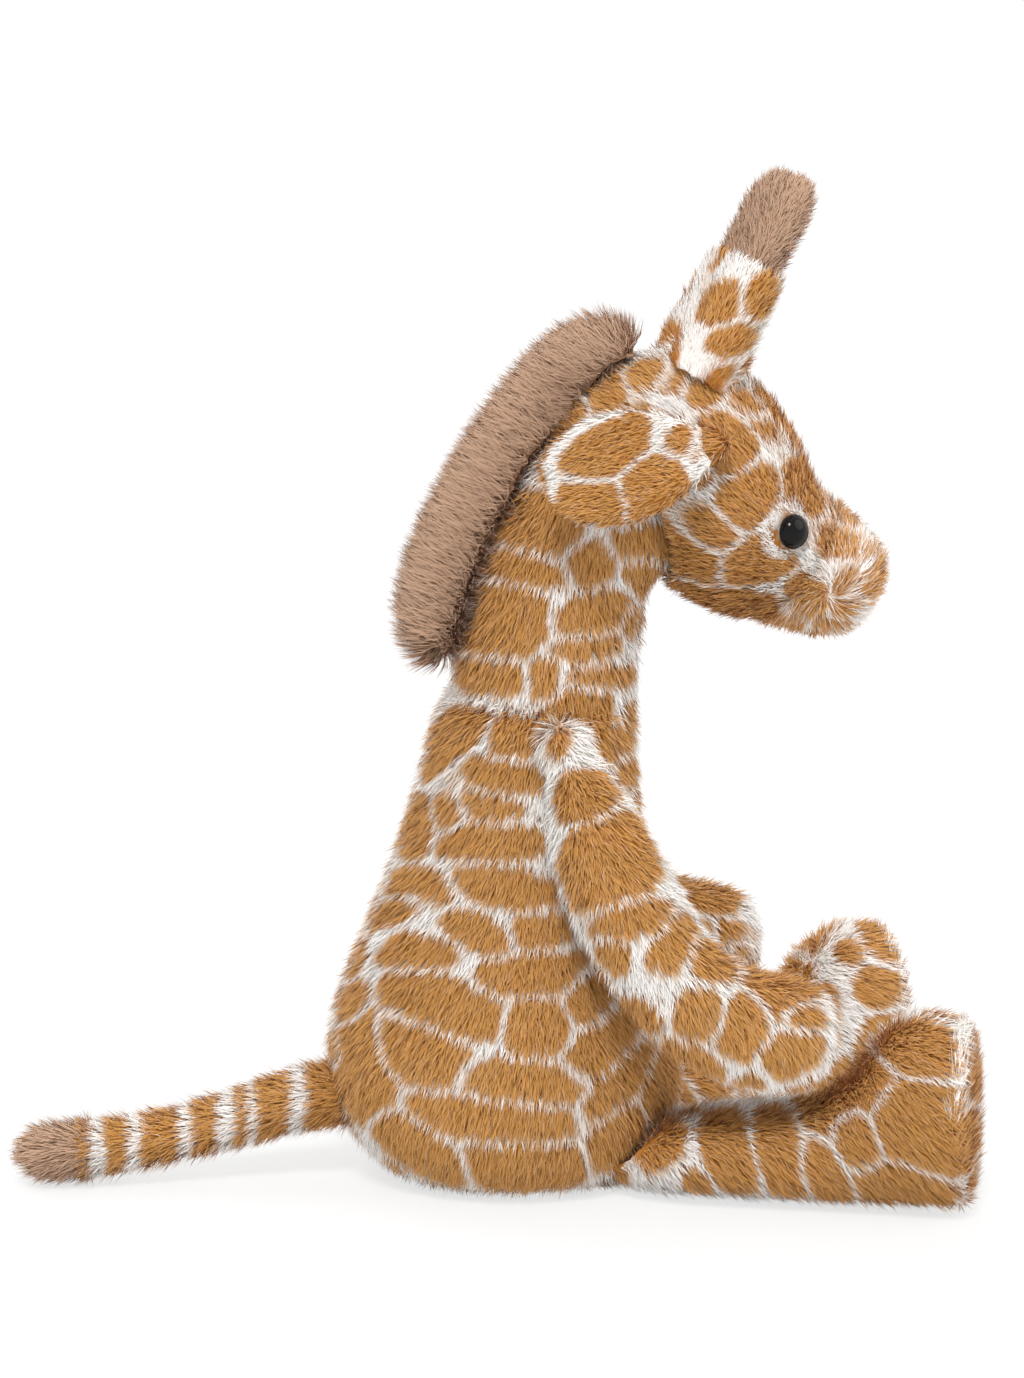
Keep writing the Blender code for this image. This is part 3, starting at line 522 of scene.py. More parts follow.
# %% [markdown]
# ## The forms
# A toy's limbs are stuffed apart and then sewn on, so each root is pinched into the piece that carries it.
# The frame leaves room there for its hinges. The room is closed with a ball of filling, or the root is
# drawn down into its neighbour. Seams and hinges are read from the frame, so that cloth and frame part at
# one place.

# %% Seams and directions
def node_points(name):
    return [vertex.co for vertex in frame["nodes"][name].data.vertices]


JOINTS = {joint["child"]: Vector(joint["pos_m"]) for joint in frame["joints"]}
HEAD_DROOP = math.radians(32)
HORN_LEAN = math.radians(27)
FOOT_TURN = math.radians(20)
HEAD_ALONG = Vector((math.cos(HEAD_DROOP), 0, -math.sin(HEAD_DROOP)))
HORN_ALONG = Vector((math.sin(HORN_LEAN), 0, math.cos(HORN_LEAN)))
SIDE_SEAM = Vector((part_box("torso_back_cover")[1].x, 0, 0))
TAIL_SEAM = Vector((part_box("tail_tip")[1].x, 0, 0))
MUZZLE_SEAM = HEAD_ALONG * max(point.dot(HEAD_ALONG) for point in node_points("head_cover"))
print("joints:", len(JOINTS))


def leg_way(sign):
    """The way that a leg points: level, and turned out a little."""
    return Vector((math.cos(FOOT_TURN), sign * math.sin(FOOT_TURN), 0))


def tell(*names):
    print(", ".join(f"{name}: {len(forms[name].faces)} faces" for name in names))


# %% Torso and neck
PILE = 4.6 * MM
DRAW_REACH = 14 * MM
NECK_START = 15 * MM
NECK_DRAW = 13 * MM
forms = {}
torso = form_of(("torso_back_cover", "torso_front_cover", "torso_stuffing"), PILE)
forms["torso_back"] = seam_half(torso, SIDE_SEAM, Vector((1, 0, 0)))
forms["torso_front"] = seam_half(torso, SIDE_SEAM, Vector((-1, 0, 0)))
forms["neck"] = form_of(("neck_cover", "neck_stuffing"), PILE)
neck_start = JOINTS["neck"] + Vector((0, 0, NECK_START))
draw_in(forms["neck"], neck_start, Vector((0, 0, -1)), DRAW_REACH, NECK_DRAW)
tell("torso_back", "torso_front", "neck")

# %% Head and muzzle
SEAT_FILL = 13 * MM
SEAT_DEPTH = 4 * MM
EYE_FILL = 8 * MM
NAPE_OFFSET = Vector((-8, 0, 29)) * MM
NAPE_FILL = 15 * MM
seats = []
for side, _ in SIDES:
    seats.append((JOINTS[f"horn_{side}"] - HORN_ALONG * SEAT_DEPTH, SEAT_FILL))
    seats.append((sum(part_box(f"eye_washer_{side}"), Vector()) / 2, EYE_FILL))
seats.append((JOINTS["head"] + NAPE_OFFSET, NAPE_FILL))
head = form_of(("head_cover", "muzzle_cover", "head_stuffing"), PILE, balls=seats)
forms["head"] = seam_half(head, MUZZLE_SEAM, HEAD_ALONG)
forms["muzzle"] = seam_half(head, MUZZLE_SEAM, -HEAD_ALONG)
tell("head", "muzzle")

# %% Mane
SHORT_PILE = 2.6 * MM
FINE_VOXEL = 2.0 * MM
FINE_STEPS = 2
MANE_REACH = 11 * MM
MANE_DRAW = 6 * MM
MANE_STEPS = 4
forms["mane"] = form_of(("mane",), SHORT_PILE, FINE_VOXEL, FINE_STEPS)
sew_on(forms["mane"], (forms["neck"], forms["head"]), MANE_REACH, MANE_DRAW)
soften(forms["mane"], MANE_STEPS)
tell("mane")

# %% Tail and its tuft
TAIL_START = 4 * MM
TAIL_DRAW = 12 * MM
tail = form_of(("tail_cover", "tail_tip", "tail_stuffing"), SHORT_PILE, FINE_VOXEL)
tail_start = JOINTS["tail"] - Vector((TAIL_START, 0, 0))
draw_in(tail, tail_start, Vector((1, 0, 0)), DRAW_REACH, TAIL_DRAW)
forms["tail"] = seam_half(tail, TAIL_SEAM, Vector((-1, 0, 0)))
forms["tail_tuft"] = seam_half(tail, TAIL_SEAM, Vector((1, 0, 0)))
tell("tail", "tail_tuft")

# %% Arms
SHOULDER_DEPTH = 5 * MM
SHOULDER_FILL = 13 * MM
for side, sign in SIDES:
    shoulder = JOINTS[f"arm_{side}"] - Vector((0, sign, 1)) * SHOULDER_DEPTH
    arm_nodes = (f"arm_cover_{side}", f"arm_stuffing_{side}")
    forms[f"arm_{side}"] = form_of(arm_nodes, PILE, balls=[(shoulder, SHOULDER_FILL)])
tell("arm_left", "arm_right")

# %% Legs and soles
LEG_INWARDS = (-0.6, -0.8)
LEG_START = 28 * MM
LEG_REACH = 18 * MM
LEG_DRAW = 16 * MM
for side, sign in SIDES:
    leg = form_of((f"leg_cover_{side}", f"sole_{side}", f"leg_stuffing_{side}"), PILE)
    inwards = Vector((LEG_INWARDS[0], LEG_INWARDS[1] * sign, 0))
    draw_in(leg, JOINTS[f"leg_{side}"] - inwards * LEG_START, inwards, LEG_REACH, LEG_DRAW)
    along = leg_way(sign)
    sole_seam = along * min(point.dot(along) for point in node_points(f"sole_{side}"))
    forms[f"leg_{side}"] = seam_half(leg, sole_seam, along)
    forms[f"sole_{side}"] = seam_half(leg, sole_seam, -along)
    tell(f"leg_{side}", f"sole_{side}")

# %% Horns and their tips
THIN_VOXEL = 1.5 * MM
HORN_START = 4 * MM
HORN_DRAW = 8 * MM
TIP_REACH = 6 * MM
TIP_DRAW = 8 * MM
for side, _ in SIDES:
    horn = form_of((f"horn_cover_{side}", f"horn_stuffing_{side}"), SHORT_PILE, FINE_VOXEL)
    horn_start = JOINTS[f"horn_{side}"] + HORN_ALONG * HORN_START
    draw_in(horn, horn_start, -HORN_ALONG, DRAW_REACH, HORN_DRAW)
    forms[f"horn_{side}"] = horn
    tip = form_of((f"horn_tip_{side}",), SHORT_PILE, THIN_VOXEL, FINE_STEPS)
    tip_middle = sum((vertex.co for vertex in tip.verts), Vector()) / len(tip.verts)
    draw_in(tip, tip_middle, -HORN_ALONG, TIP_REACH, TIP_DRAW)
    forms[f"horn_tip_{side}"] = tip
    tell(f"horn_{side}", f"horn_tip_{side}")

# %% Ears
EAR_PILE = 0.5 * MM
EAR_CUP = 6 * MM


def cup(shape, middle, tip, half_width, depth, outwards):
    """Sinks the middle of an ear and raises its edges."""
    along = (tip - middle).normalized()
    across = along.cross(outwards).normalized()
    for vertex in shape.verts:
        share = (vertex.co - middle).dot(across) / half_width
        vertex.co += outwards * (depth * (min(share * share, 1) - 0.5))


for side, sign in SIDES:
    ear_low, ear_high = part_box(f"ear_lining_{side}")
    ear_root = Vector((ear_high.x, 0, ear_high.z))
    ear_tip = Vector((ear_low.x, 0, (ear_low.z + ear_high.z) / 2))
    ear_middle = (ear_root + ear_tip) / 2
    half_width = (ear_high.z - ear_low.z) / 2
    for layer in ("ear_back", "ear_lining"):
        ear = form_of((f"{layer}_{side}",), EAR_PILE, THIN_VOXEL, FINE_STEPS)
        cup(ear, ear_middle, ear_tip, half_width, EAR_CUP, Vector((0, sign, 0)))
        forms[f"{layer}_{side}"] = ear
    tell(f"ear_back_{side}", f"ear_lining_{side}")

# %% [markdown]
# ## Where the spots go
# The print of the cloth is a giraffe's common one: gold patches with cream lines between them. A noise of
# cells could draw such a net, but its cells wouldn't lie where the real ones do. So each patch is an oval
# laid on the skin, and those that the photograph shows are listed. A row gives the pixel of the centre, the
# half width and half height in pixels and the tilt in degrees. On the tail, a pair gives the columns
# between which a cream band lies. The far side mirrors the near one, and the rest of the cloth gets seeded
# ovals.

# %% Spots of torso and neck
TORSO_SPOTS = (
    (455, 737, 31, 21, -15), (520, 735, 27, 26, 0), (424, 772, 15, 12, -20), (497, 778, 41, 16, 3),
    (474, 803, 39, 14, 15), (422, 830, 17, 30, 15), (489, 847, 48, 18, -2), (499, 887, 48, 19, 12),
    (418, 888, 31, 18, 12), (393, 917, 31, 13, 5), (478, 936, 34, 17, 20), (538, 934, 27, 17, -5),
    (420, 956, 34, 17, 8), (362, 956, 15, 19, 15), (532, 978, 54, 20, -5), (586, 1000, 21, 24, 30),
    (441, 1008, 56, 27, 12), (356, 1006, 17, 23, 10), (534, 1029, 29, 27, 0), (420, 1054, 46, 29, 20),
    (603, 1046, 39, 22, -25), (617, 1083, 41, 17, -30), (520, 1085, 60, 21, 5), (362, 1068, 37, 26, 50),
    (661, 1089, 22, 32, 25), (491, 1119, 79, 21, 8), (613, 1139, 27, 22, -15), (420, 1149, 51, 19, 25),
    (526, 1167, 55, 22, 10), (346, 1128, 26, 17, 50), (619, 1176, 46, 12, -25), (424, 1185, 46, 9, 12),
    (499, 1201, 37, 7, 5), (603, 726, 31, 35, -10), (623, 774, 17, 15, 0), (337, 1039, 9, 25, 0),
)
NECK_SPOTS = (
    (532, 527, 39, 29, 15), (515, 569, 41, 18, 14), (499, 623, 38, 35, 0), (591, 563, 24, 21, -25),
    (593, 615, 35, 19, -8), (584, 649, 36, 12, -3), (639, 575, 20, 18, 40), (645, 546, 34, 17, 15),
    (477, 676, 36, 18, 5), (545, 680, 18, 20, -15), (599, 680, 41, 11, 3), (645, 609, 8, 16, 0),
)
print("spots on torso and neck:", len(TORSO_SPOTS) + len(NECK_SPOTS))

# %% Spots of the head and what it carries
HEAD_SPOTS = (
    (609, 395, 18, 24, 0), (664, 347, 38, 16, -12), (649, 376, 31, 15, -20), (700, 383, 20, 22, -35),
    (725, 442, 28, 27, 0), (755, 363, 20, 11, 18), (767, 384, 24, 12, 25), (773, 420, 20, 19, 30),
    (749, 494, 31, 23, -35), (701, 475, 11, 11, 0), (699, 529, 34, 22, 38), (754, 559, 38, 21, -12),
    (668, 487, 15, 23, 30), (715, 599, 51, 18, 20), (800, 487, 19, 31, -10), (794, 525, 13, 17, -20),
    (840, 504, 20, 9, 25), (572, 429, 15, 31, 25), (561, 395, 23, 17, -50), (645, 533, 27, 19, 0),
)
MUZZLE_SPOTS = (
    (838, 541, 22, 15, 0), (868, 527, 8, 6, 20), (886, 560, 10, 17, 30), (806, 598, 18, 18, 30),
    (848, 606, 17, 9, -10), (796, 564, 6, 15, 20), (817, 628, 18, 7, 10),
)
HORN_SPOTS = (
    (689, 305, 13, 19, 20), (732, 259, 20, 20, 20), (722, 302, 20, 19, 0), (762, 295, 24, 14, -35),
    (777, 269, 23, 8, -10), (734, 338, 23, 16, -30),
)
EAR_LINING_SPOTS = (
    (604, 452, 40, 22, -30), (634, 409, 24, 7, -22), (704, 414, 8, 20, 10),
)
EAR_BACK_SPOTS = (
    (630, 502, 43, 24, -20), (591, 521, 19, 15, 0), (676, 383, 46, 15, 15),
)
print("spots on head and muzzle:", len(HEAD_SPOTS) + len(MUZZLE_SPOTS))

# %% Spots of the limbs, and bands of the tail
ARM_SPOTS = (
    (561, 745, 12, 17, 20), (586, 800, 29, 23, -10), (611, 865, 49, 38, -35), (559, 850, 13, 21, 10),
    (629, 922, 37, 17, -12), (641, 801, 13, 21, -30), (676, 885, 21, 18, 40), (615, 957, 15, 14, 20),
    (677, 946, 27, 17, -50), (713, 965, 20, 17, -10), (700, 1018, 22, 21, 0), (650, 1023, 22, 19, 25),
    (744, 1028, 22, 32, 25), (750, 974, 16, 16, 20), (779, 984, 20, 27, -35), (798, 972, 25, 9, 22),
    (804, 1020, 20, 17, -20), (793, 1051, 27, 20, -30), (696, 1057, 25, 13, 15),
    (749, 1082, 41, 13, -8), (579, 950, 9, 27, -35), (832, 1011, 10, 19, 0),
)
LEG_SPOTS = (
    (729, 1151, 22, 45, -15), (784, 1154, 22, 52, -12), (710, 1187, 17, 23, -5),
    (668, 1184, 23, 21, 20), (828, 1179, 17, 35, -38), (862, 1141, 18, 32, -32),
    (850, 1086, 32, 27, 10), (907, 1044, 43, 27, 30), (926, 1134, 43, 41, 10), (905, 1187, 38, 23, 25),
    (841, 1034, 14, 17, 0), (951, 1014, 20, 11, 20),
)
SOLE_SPOTS = (
    (976, 1079, 12, 17, 0), (973, 1151, 13, 34, 0),
)
TAIL_BANDS = ((88, 102), (124, 138), (176, 188), (215, 231), (245, 253), (288, 303))
print("spots on the limbs:", len(ARM_SPOTS) + len(LEG_SPOTS) + len(SOLE_SPOTS))

# %% [markdown]
# ## Laying ovals on the cloth
# A print is flat cloth before it is sewn, so its patches keep their size where the form turns away from the
# eye. An oval that the photograph shows narrow is widened again by the slant of the skin there, up to a
# limit.

# %% Laying an oval on a skin
SPOT_DEPTH = 15 * MM
MOST_STRETCH = 1.8
LEAST_FACING = 0.2
SPOT_GROWTH = 1.22


def spot_at(place, normal, first, half_first, half_second):
    """An oval on the skin: its centre, its three axes and its half sizes."""
    first = (first - normal * first.dot(normal)).normalized()
    second = normal.cross(first)
    return np.array([place, first, second, normal], float), (half_first, half_second, SPOT_DEPTH)


def seen_spots(rows, form):
    """The ovals that the photograph shows on this form, found along the rays of their pixels."""
    tree = BVHTree.FromBMesh(form)
    found = []
    for x, y, half_width, half_height, tilt in rows:
        ray = pixel_ray(x, y)
        place, normal, _, _ = tree.ray_cast(EYE_POINT, ray)
        if place is None:
            place, normal, _, _ = tree.find_nearest(EYE_POINT + ray * DISTANCE)
        angle = math.radians(tilt)
        wide = RIGHT * math.cos(angle) - UP * math.sin(angle)
        high = RIGHT * math.sin(angle) + UP * math.cos(angle)
        facing = min(ray.dot(normal), -LEAST_FACING)
        halves = []
        for way, half in ((wide, half_width), (high, half_height)):
            lifted = way - ray * (way.dot(normal) / facing)
            halves.append(half * METRES_A_PIXEL * SPOT_GROWTH * min(lifted.length, MOST_STRETCH))
        found.append(spot_at(place, normal, wide, *halves))
    return found


def mirrored_spots(spots):
    """The same ovals on the toy's other side."""
    flip = np.array([1, -1, 1])
    return [(frame_rows * flip, halves) for frame_rows, halves in spots]


# %% Filling the bare cloth with seeded ovals
SEED = 11
SPOT_POWER = 2.5
FILL_HALVES = ((12 * MM, 16 * MM), (6 * MM, 8 * MM))
FILL_RATIO = (0.65, 0.9)
FILL_MARGINS = (7.0 * MM, 4.0 * MM)
LEAST_WAY = 0.2
SPARE_AROUND = Vector((1, 0.3, 0))
rng = np.random.default_rng(SEED)


def distances(points, spots):
    """How far each point is from each oval's centre, where 1 is the oval's edge."""
    result = np.empty((len(points), len(spots)), np.float32)
    for column, (rows, halves) in enumerate(spots):
        local = (points - rows[0]) @ rows[1:].T / np.array(halves)
        result[:, column] = (np.abs(local) ** SPOT_POWER).sum(axis=1) ** (1 / SPOT_POWER)
    return result


def room_round(centres, spot):
    """How far each point is from an oval's edge, less than nothing inside it."""
    return (distances(centres, [spot])[:, 0] - 1) * min(spot[1][:2])


def filled_spots(spots, form, around):
    """Adds seeded ovals where the skin has room, large ones first, each longest round the form."""
    spots = list(spots)
    centres = np.array([face.calc_center_median() for face in form.faces])
    normals = np.array([face.normal for face in form.faces])
    room = np.full(len(centres), np.inf)
    for spot in spots:
        room = np.minimum(room, room_round(centres, spot))
    for half_range, margin in zip(FILL_HALVES, FILL_MARGINS):
        for index in rng.permutation(len(centres)):
            if room[index] < margin:
                continue
            normal = Vector(normals[index])
            way = Vector(around).cross(normal)
            if way.length < LEAST_WAY:
                way = SPARE_AROUND.cross(normal)
            half = rng.uniform(*half_range)
            spot = spot_at(Vector(centres[index]), normal, way, half, half * rng.uniform(*FILL_RATIO))
            spots.append(spot)
            room = np.minimum(room, room_round(centres, spot))
    return spots


# %% [markdown]
# ## How much gold a point of the cloth has
# Printed edges are soft and a little ragged, and two patches never run into each other. The nearest oval
# says how gold a point is, a gentle noise roughens the edge, and the second nearest keeps a cream line
# open.

# %% A gentle noise
WAVE_COUNT = 12
WAVE_RATE = 420
WAVE_LEVEL = 4
WAVES = rng.normal(size=(WAVE_COUNT, 3)) * WAVE_RATE
PHASES = rng.uniform(0, math.tau, WAVE_COUNT)
print("waves:", WAVE_COUNT)


def wobble(points):
    """A gentle noise between about -1 and 1."""
    return np.sin(points @ WAVES.T + PHASES).sum(axis=1) / WAVE_LEVEL


# %% Gold of the spots and of the tail's bands
EDGE_WIDTH = 1.3 * MM
LINE_HALF = 0.6 * MM
WOBBLE = 0.9 * MM
BAND_WOBBLE = 2
BAND_EDGE = 4


def soft_step(inside, width):
    """From 0 outside an edge to 1 inside it, over some width."""
    return np.clip(inside / width + 0.5, 0, 1)


def gold_share(points, spots):
    """How gold each point is: 1 on a spot, and 0 on the cream lines."""
    if not spots:
        return np.zeros(len(points))
    reach = distances(points, spots)
    order = np.argsort(reach, axis=1)[:, :2]
    nearest = np.take_along_axis(reach, order[:, :1], 1)[:, 0]
    sizes = np.array([min(halves[:2]) for _, halves in spots])
    size = sizes[order[:, 0]]
    inside = (1 - nearest) * size + wobble(points) * WOBBLE
    share = soft_step(inside, EDGE_WIDTH)
    if len(spots) > 1:
        second = np.take_along_axis(reach, order[:, 1:2], 1)[:, 0]
        apart = (second - nearest) * size / 2
        share *= soft_step(apart - LINE_HALF, EDGE_WIDTH)
    return share


def pixels_across(points):
    """The photograph's column in which each point lies."""
    offset = points - np.array(EYE_POINT)
    return PHOTO_WIDTH / 2 + FOCAL_PIXELS * (offset @ np.array(RIGHT)) / (offset @ np.array(FORWARD))


def tail_gold(points, _):
    """The tail is gold all round, but for its cream bands."""
    column = pixels_across(points) + wobble(points) * BAND_WOBBLE
    share = np.ones(len(points))
    for start, end in TAIL_BANDS:
        inside = np.minimum(column - start, end - column)
        share *= soft_step(-inside, BAND_EDGE)
    return share


# %% The spots of the body
HEAD_WAY = (0.85, 0, -0.5)
# Each row: the form, the spots seen on it, and the way of its length, which the seeded ovals lie across
BODY = {
    "torso": (torso, TORSO_SPOTS, (0, 0, 1)),
    "neck": (forms["neck"], NECK_SPOTS, (0.2, 0, 1)),
    "head": (forms["head"], HEAD_SPOTS, HEAD_WAY),
    "muzzle": (forms["muzzle"], MUZZLE_SPOTS, HEAD_WAY),
}
spots = {}
for name, (form, rows, around) in BODY.items():
    shown_spots = seen_spots(rows, form)
    both = shown_spots + mirrored_spots(shown_spots)
    spots[name] = filled_spots(both, form, around)
spots["torso_back"] = spots["torso"]
spots["torso_front"] = spots["torso"]
print({name: len(spots[name]) for name in BODY})

# %% The spots of the limbs, horns and ears
HORN_WAY = (0.46, 0, 0.89)
EAR_WAY = (-1, 0, -0.2)
LIMBS = {
    "arm": (ARM_SPOTS, (0.4, 0, -0.9)),
    "leg": (LEG_SPOTS, (0.94, 0, 0.1)),
    "sole": (SOLE_SPOTS, (0, 0, 1)),
    "horn": (HORN_SPOTS, HORN_WAY),
    "ear_back": (EAR_BACK_SPOTS, EAR_WAY),
    "ear_lining": (EAR_LINING_SPOTS, EAR_WAY),
}
for name, (rows, around) in LIMBS.items():
    shown_spots = seen_spots(rows, forms[f"{name}_right"])
    spots[f"{name}_right"] = filled_spots(shown_spots, forms[f"{name}_right"], around)
    spots[f"{name}_left"] = filled_spots(mirrored_spots(shown_spots), forms[f"{name}_left"], around)
    print(name, len(spots[f"{name}_right"]), "spots on the right")

# %% [markdown]
# ## Pile
# The pile is real geometry: each strand is a narrow blade that leans with the nap, bends over and ends in a
# point. Hair curves would be lost in the model that leaves this scene, and blades stay. More than half a
# million of them can't be made one by one with operators, so their corners are worked out as arrays.
# Strands draw together in small tufts, and each shades like the cloth it stands on, which makes a dense
# pile look soft.

# %% Where pile can't be seen
HIDDEN_DEPTH = 4.0 * MM
RAY_WAY = Vector((0.31, 0.22, 0.93)).normalized()
LEAST_LENGTH = 1e-9


def unit(vectors):
    return vectors / np.maximum(np.linalg.norm(vectors, axis=1, keepdims=True), LEAST_LENGTH)


def holds(tree, point):
    """True where a point lies inside a closed form: a ray from it leaves through an odd number of faces."""
    crossings = 0
    place = tree.ray_cast(point, RAY_WAY)[0]
    while place is not None:
        crossings += 1
        place = tree.ray_cast(place + RAY_WAY * WELD, RAY_WAY)[0]
    return crossings % 2 == 1


def inside_faces(form, others):
    """True for each face that lies well inside another form, where no pile can be seen."""
    hidden = np.zeros(len(form.faces), bool)
    trees = [BVHTree.FromBMesh(other) for other in others]
    for index, face in enumerate(form.faces):
        point = face.calc_center_median() + face.normal * HIDDEN_DEPTH
        hidden[index] = any(holds(tree, point) for tree in trees)
    return hidden


# %% Roots, and the tufts that they lean into
DENSITY = 2.6e6
TUFT = 4.0 * MM
TUFT_STRAY = 0.8
MIX = np.array([[127.1, 269.5, 419.2], [311.7, 183.3, 371.9], [74.7, 246.1, 168.2]])
MIX_SPREAD = 43758.5
print("strands a square metre:", DENSITY)


def roots_on(form, density, hidden):
    """Seeded root points spread evenly over the form, with the skin's normal at each."""
    triangles = form.calc_loop_triangles()
    corners = np.array([[loop.vert.co for loop in loops] for loops in triangles])
    normals = np.array([[loop.vert.normal for loop in loops] for loops in triangles])
    faces = np.array([loops[0].face.index for loops in triangles])
    crossed = np.cross(corners[:, 1] - corners[:, 0], corners[:, 2] - corners[:, 0])
    area = np.where(hidden[faces], 0, np.linalg.norm(crossed, axis=1) / 2)
    count = int(area.sum() * density)
    chosen = rng.choice(len(area), count, p=area / area.sum())
    first, second = rng.random((2, count))
    over = first + second > 1
    first[over], second[over] = 1 - first[over], 1 - second[over]
    shares = np.stack([1 - first - second, first, second], axis=1)[:, :, None]
    return (corners[chosen] * shares).sum(axis=1), unit((normals[chosen] * shares).sum(axis=1))


def tuft_pull(points, size):
    """The way from each root to the middle of its tuft, which strays from the middle of its cell."""
    best = np.full(len(points), np.inf)
    pull = np.zeros_like(points)
    cells = np.floor(points / size)
    for step in np.ndindex(3, 3, 3):
        cell = cells + np.array(step) - 1
        mixed_up = np.sin(cell @ MIX) * MIX_SPREAD
        middle = (cell + 0.5 + TUFT_STRAY * (mixed_up - np.floor(mixed_up) - 0.5)) * size
        offset = middle - points
        away = (offset**2).sum(axis=1)
        closer = away < best
        best[closer] = away[closer]
        pull[closer] = offset[closer]
    return pull


# %% The blade of each strand
FLOOR_CLEAR = 0.3 * MM
NAP_STRAY = 0.15
WAY_STRAY = 0.15
FACING_STRAY = 0.02
LEAN_STRAY = 0.16
LEAN_LIMITS = (0.05, 1.45)
LENGTHS = (0.72, 1.18)
WIDTHS = (0.7, 1.25)
ROLL = 0.7
WAIST = 0.85
BEND_ON = 0.85
BEND_ALONG = 0.35
BEND_DOWN = 0.12
SHADE_CLOTH = 0.8
SHADE_BLADE = 0.35
SHADE_WAY = 0.2


def flattened(ways, normals):
    """The part of each way that lies across its normal."""
    return ways - normals * (ways * normals).sum(axis=1, keepdims=True)


def strands(roots, normals, nap, length, lean, width, pull_share):
    """Corners of each blade, five a strand, with the normals that it is shaded by."""
    count = len(roots)
    along = unit(flattened(nap, normals) + rng.normal(0, NAP_STRAY, (count, 3)))
    tilt = np.clip(rng.normal(lean, LEAN_STRAY, count), *LEAN_LIMITS)[:, None]
    stray = rng.normal(0, WAY_STRAY, (count, 3))
    pull = tuft_pull(roots, TUFT) / TUFT
    way = unit(normals * np.cos(tilt) + along * np.sin(tilt) + pull * pull_share + stray)
    sizes = (length * rng.uniform(*LENGTHS, count))[:, None]
    facing = unit(flattened(normals, way) + rng.normal(0, FACING_STRAY, (count, 3)))
    roll = rng.uniform(-ROLL, ROLL, count)[:, None]
    facing = facing * np.cos(roll) + np.cross(way, facing) * np.sin(roll)
    side = np.cross(way, facing) * (width / 2) * rng.uniform(*WIDTHS, count)[:, None]
    middle = roots + way * sizes / 2
    bent = unit(way * BEND_ON + along * BEND_ALONG - normals * BEND_DOWN)
    tip = middle + bent * sizes / 2
    waist = side * WAIST
    corners = np.stack([roots - side, roots + side, middle + waist, middle - waist, tip], axis=1)
    corners[:, :, 2] = np.maximum(corners[:, :, 2], FLOOR_CLEAR)
    shading = unit(normals * SHADE_CLOTH + facing * SHADE_BLADE + way * SHADE_WAY)
    return corners, shading


# %% One mesh of many blades
CORNERS = 5
LOOPS = np.array([0, 1, 2, 3, 3, 2, 4])
FACE_STARTS = np.array([0, 4])
HEIGHTS = [0.0, 0.0, 0.55, 0.55, 1.0]
QUAD_MAP = [[0.1, 0.05], [0.9, 0.05], [0.9, 0.5], [0.1, 0.5]]
POINT_MAP = [[0.1, 0.5], [0.9, 0.5], [0.5, 0.95]]


def mark(mesh, title, values):
    """Keeps a number for each point of a mesh, which a finish can read."""
    mesh.attributes.new(title, "FLOAT", "POINT").data.foreach_set("value", values.astype(np.float32))


def strand_mesh(name, corners, shading, spot, shade, finish):
    """One mesh of blades: a quad and a tip each, with the attributes of dye and painted root shade, and a
    map to bake into.
    """
    count = len(corners)
    mesh = bpy.data.meshes.new(name)
    mesh.vertices.add(count * CORNERS)
    mesh.vertices.foreach_set("co", corners.astype(np.float32).ravel())
    loops = np.arange(count)[:, None] * CORNERS + LOOPS
    mesh.loops.add(count * len(LOOPS))
    mesh.loops.foreach_set("vertex_index", loops.astype(np.int32).ravel())
    starts = np.arange(count)[:, None] * len(LOOPS) + FACE_STARTS
    mesh.polygons.add(count * len(FACE_STARTS))
    mesh.polygons.foreach_set("loop_start", starts.astype(np.int32).ravel())
    mesh.update()
    # How far up its strand each corner is; the finish fades the painted root shade by it
    mark(mesh, "height", np.tile(HEIGHTS, count))
    mark(mesh, "spot", np.repeat(spot, CORNERS))
    mark(mesh, "shade", np.repeat(shade, CORNERS))
    soft = mesh.attributes.new("custom_normal", "FLOAT_VECTOR", "POINT")
    soft.data.foreach_set("vector", np.repeat(shading, CORNERS, axis=0).astype(np.float32).ravel())
    cells = math.ceil(math.sqrt(count))
    cell = np.stack([np.arange(count) % cells, np.arange(count) // cells], axis=1)[:, None, :]
    bake = mesh.uv_layers.new(name="OFBake")
    places = (cell + np.array(QUAD_MAP + POINT_MAP)) / cells
    bake.data.foreach_set("uv", places.astype(np.float32).ravel())
    return add_piece(name, mesh, finish)


# %% Where the eyes are
eye_axes = {}
for side, _ in SIDES:
    eye_points = np.array(node_points(f"eye_{side}"))
    washer_middle = np.array(node_points(f"eye_washer_{side}")).mean(axis=0)
    axis = unit((eye_points.mean(axis=0) - washer_middle)[None])[0]
    top = ((eye_points - washer_middle) @ axis).max()
    eye_axes[side] = (washer_middle + axis * top, axis)
    print("eye", side, np.round(eye_axes[side][0] / MM, 1), np.round(axis, 2))
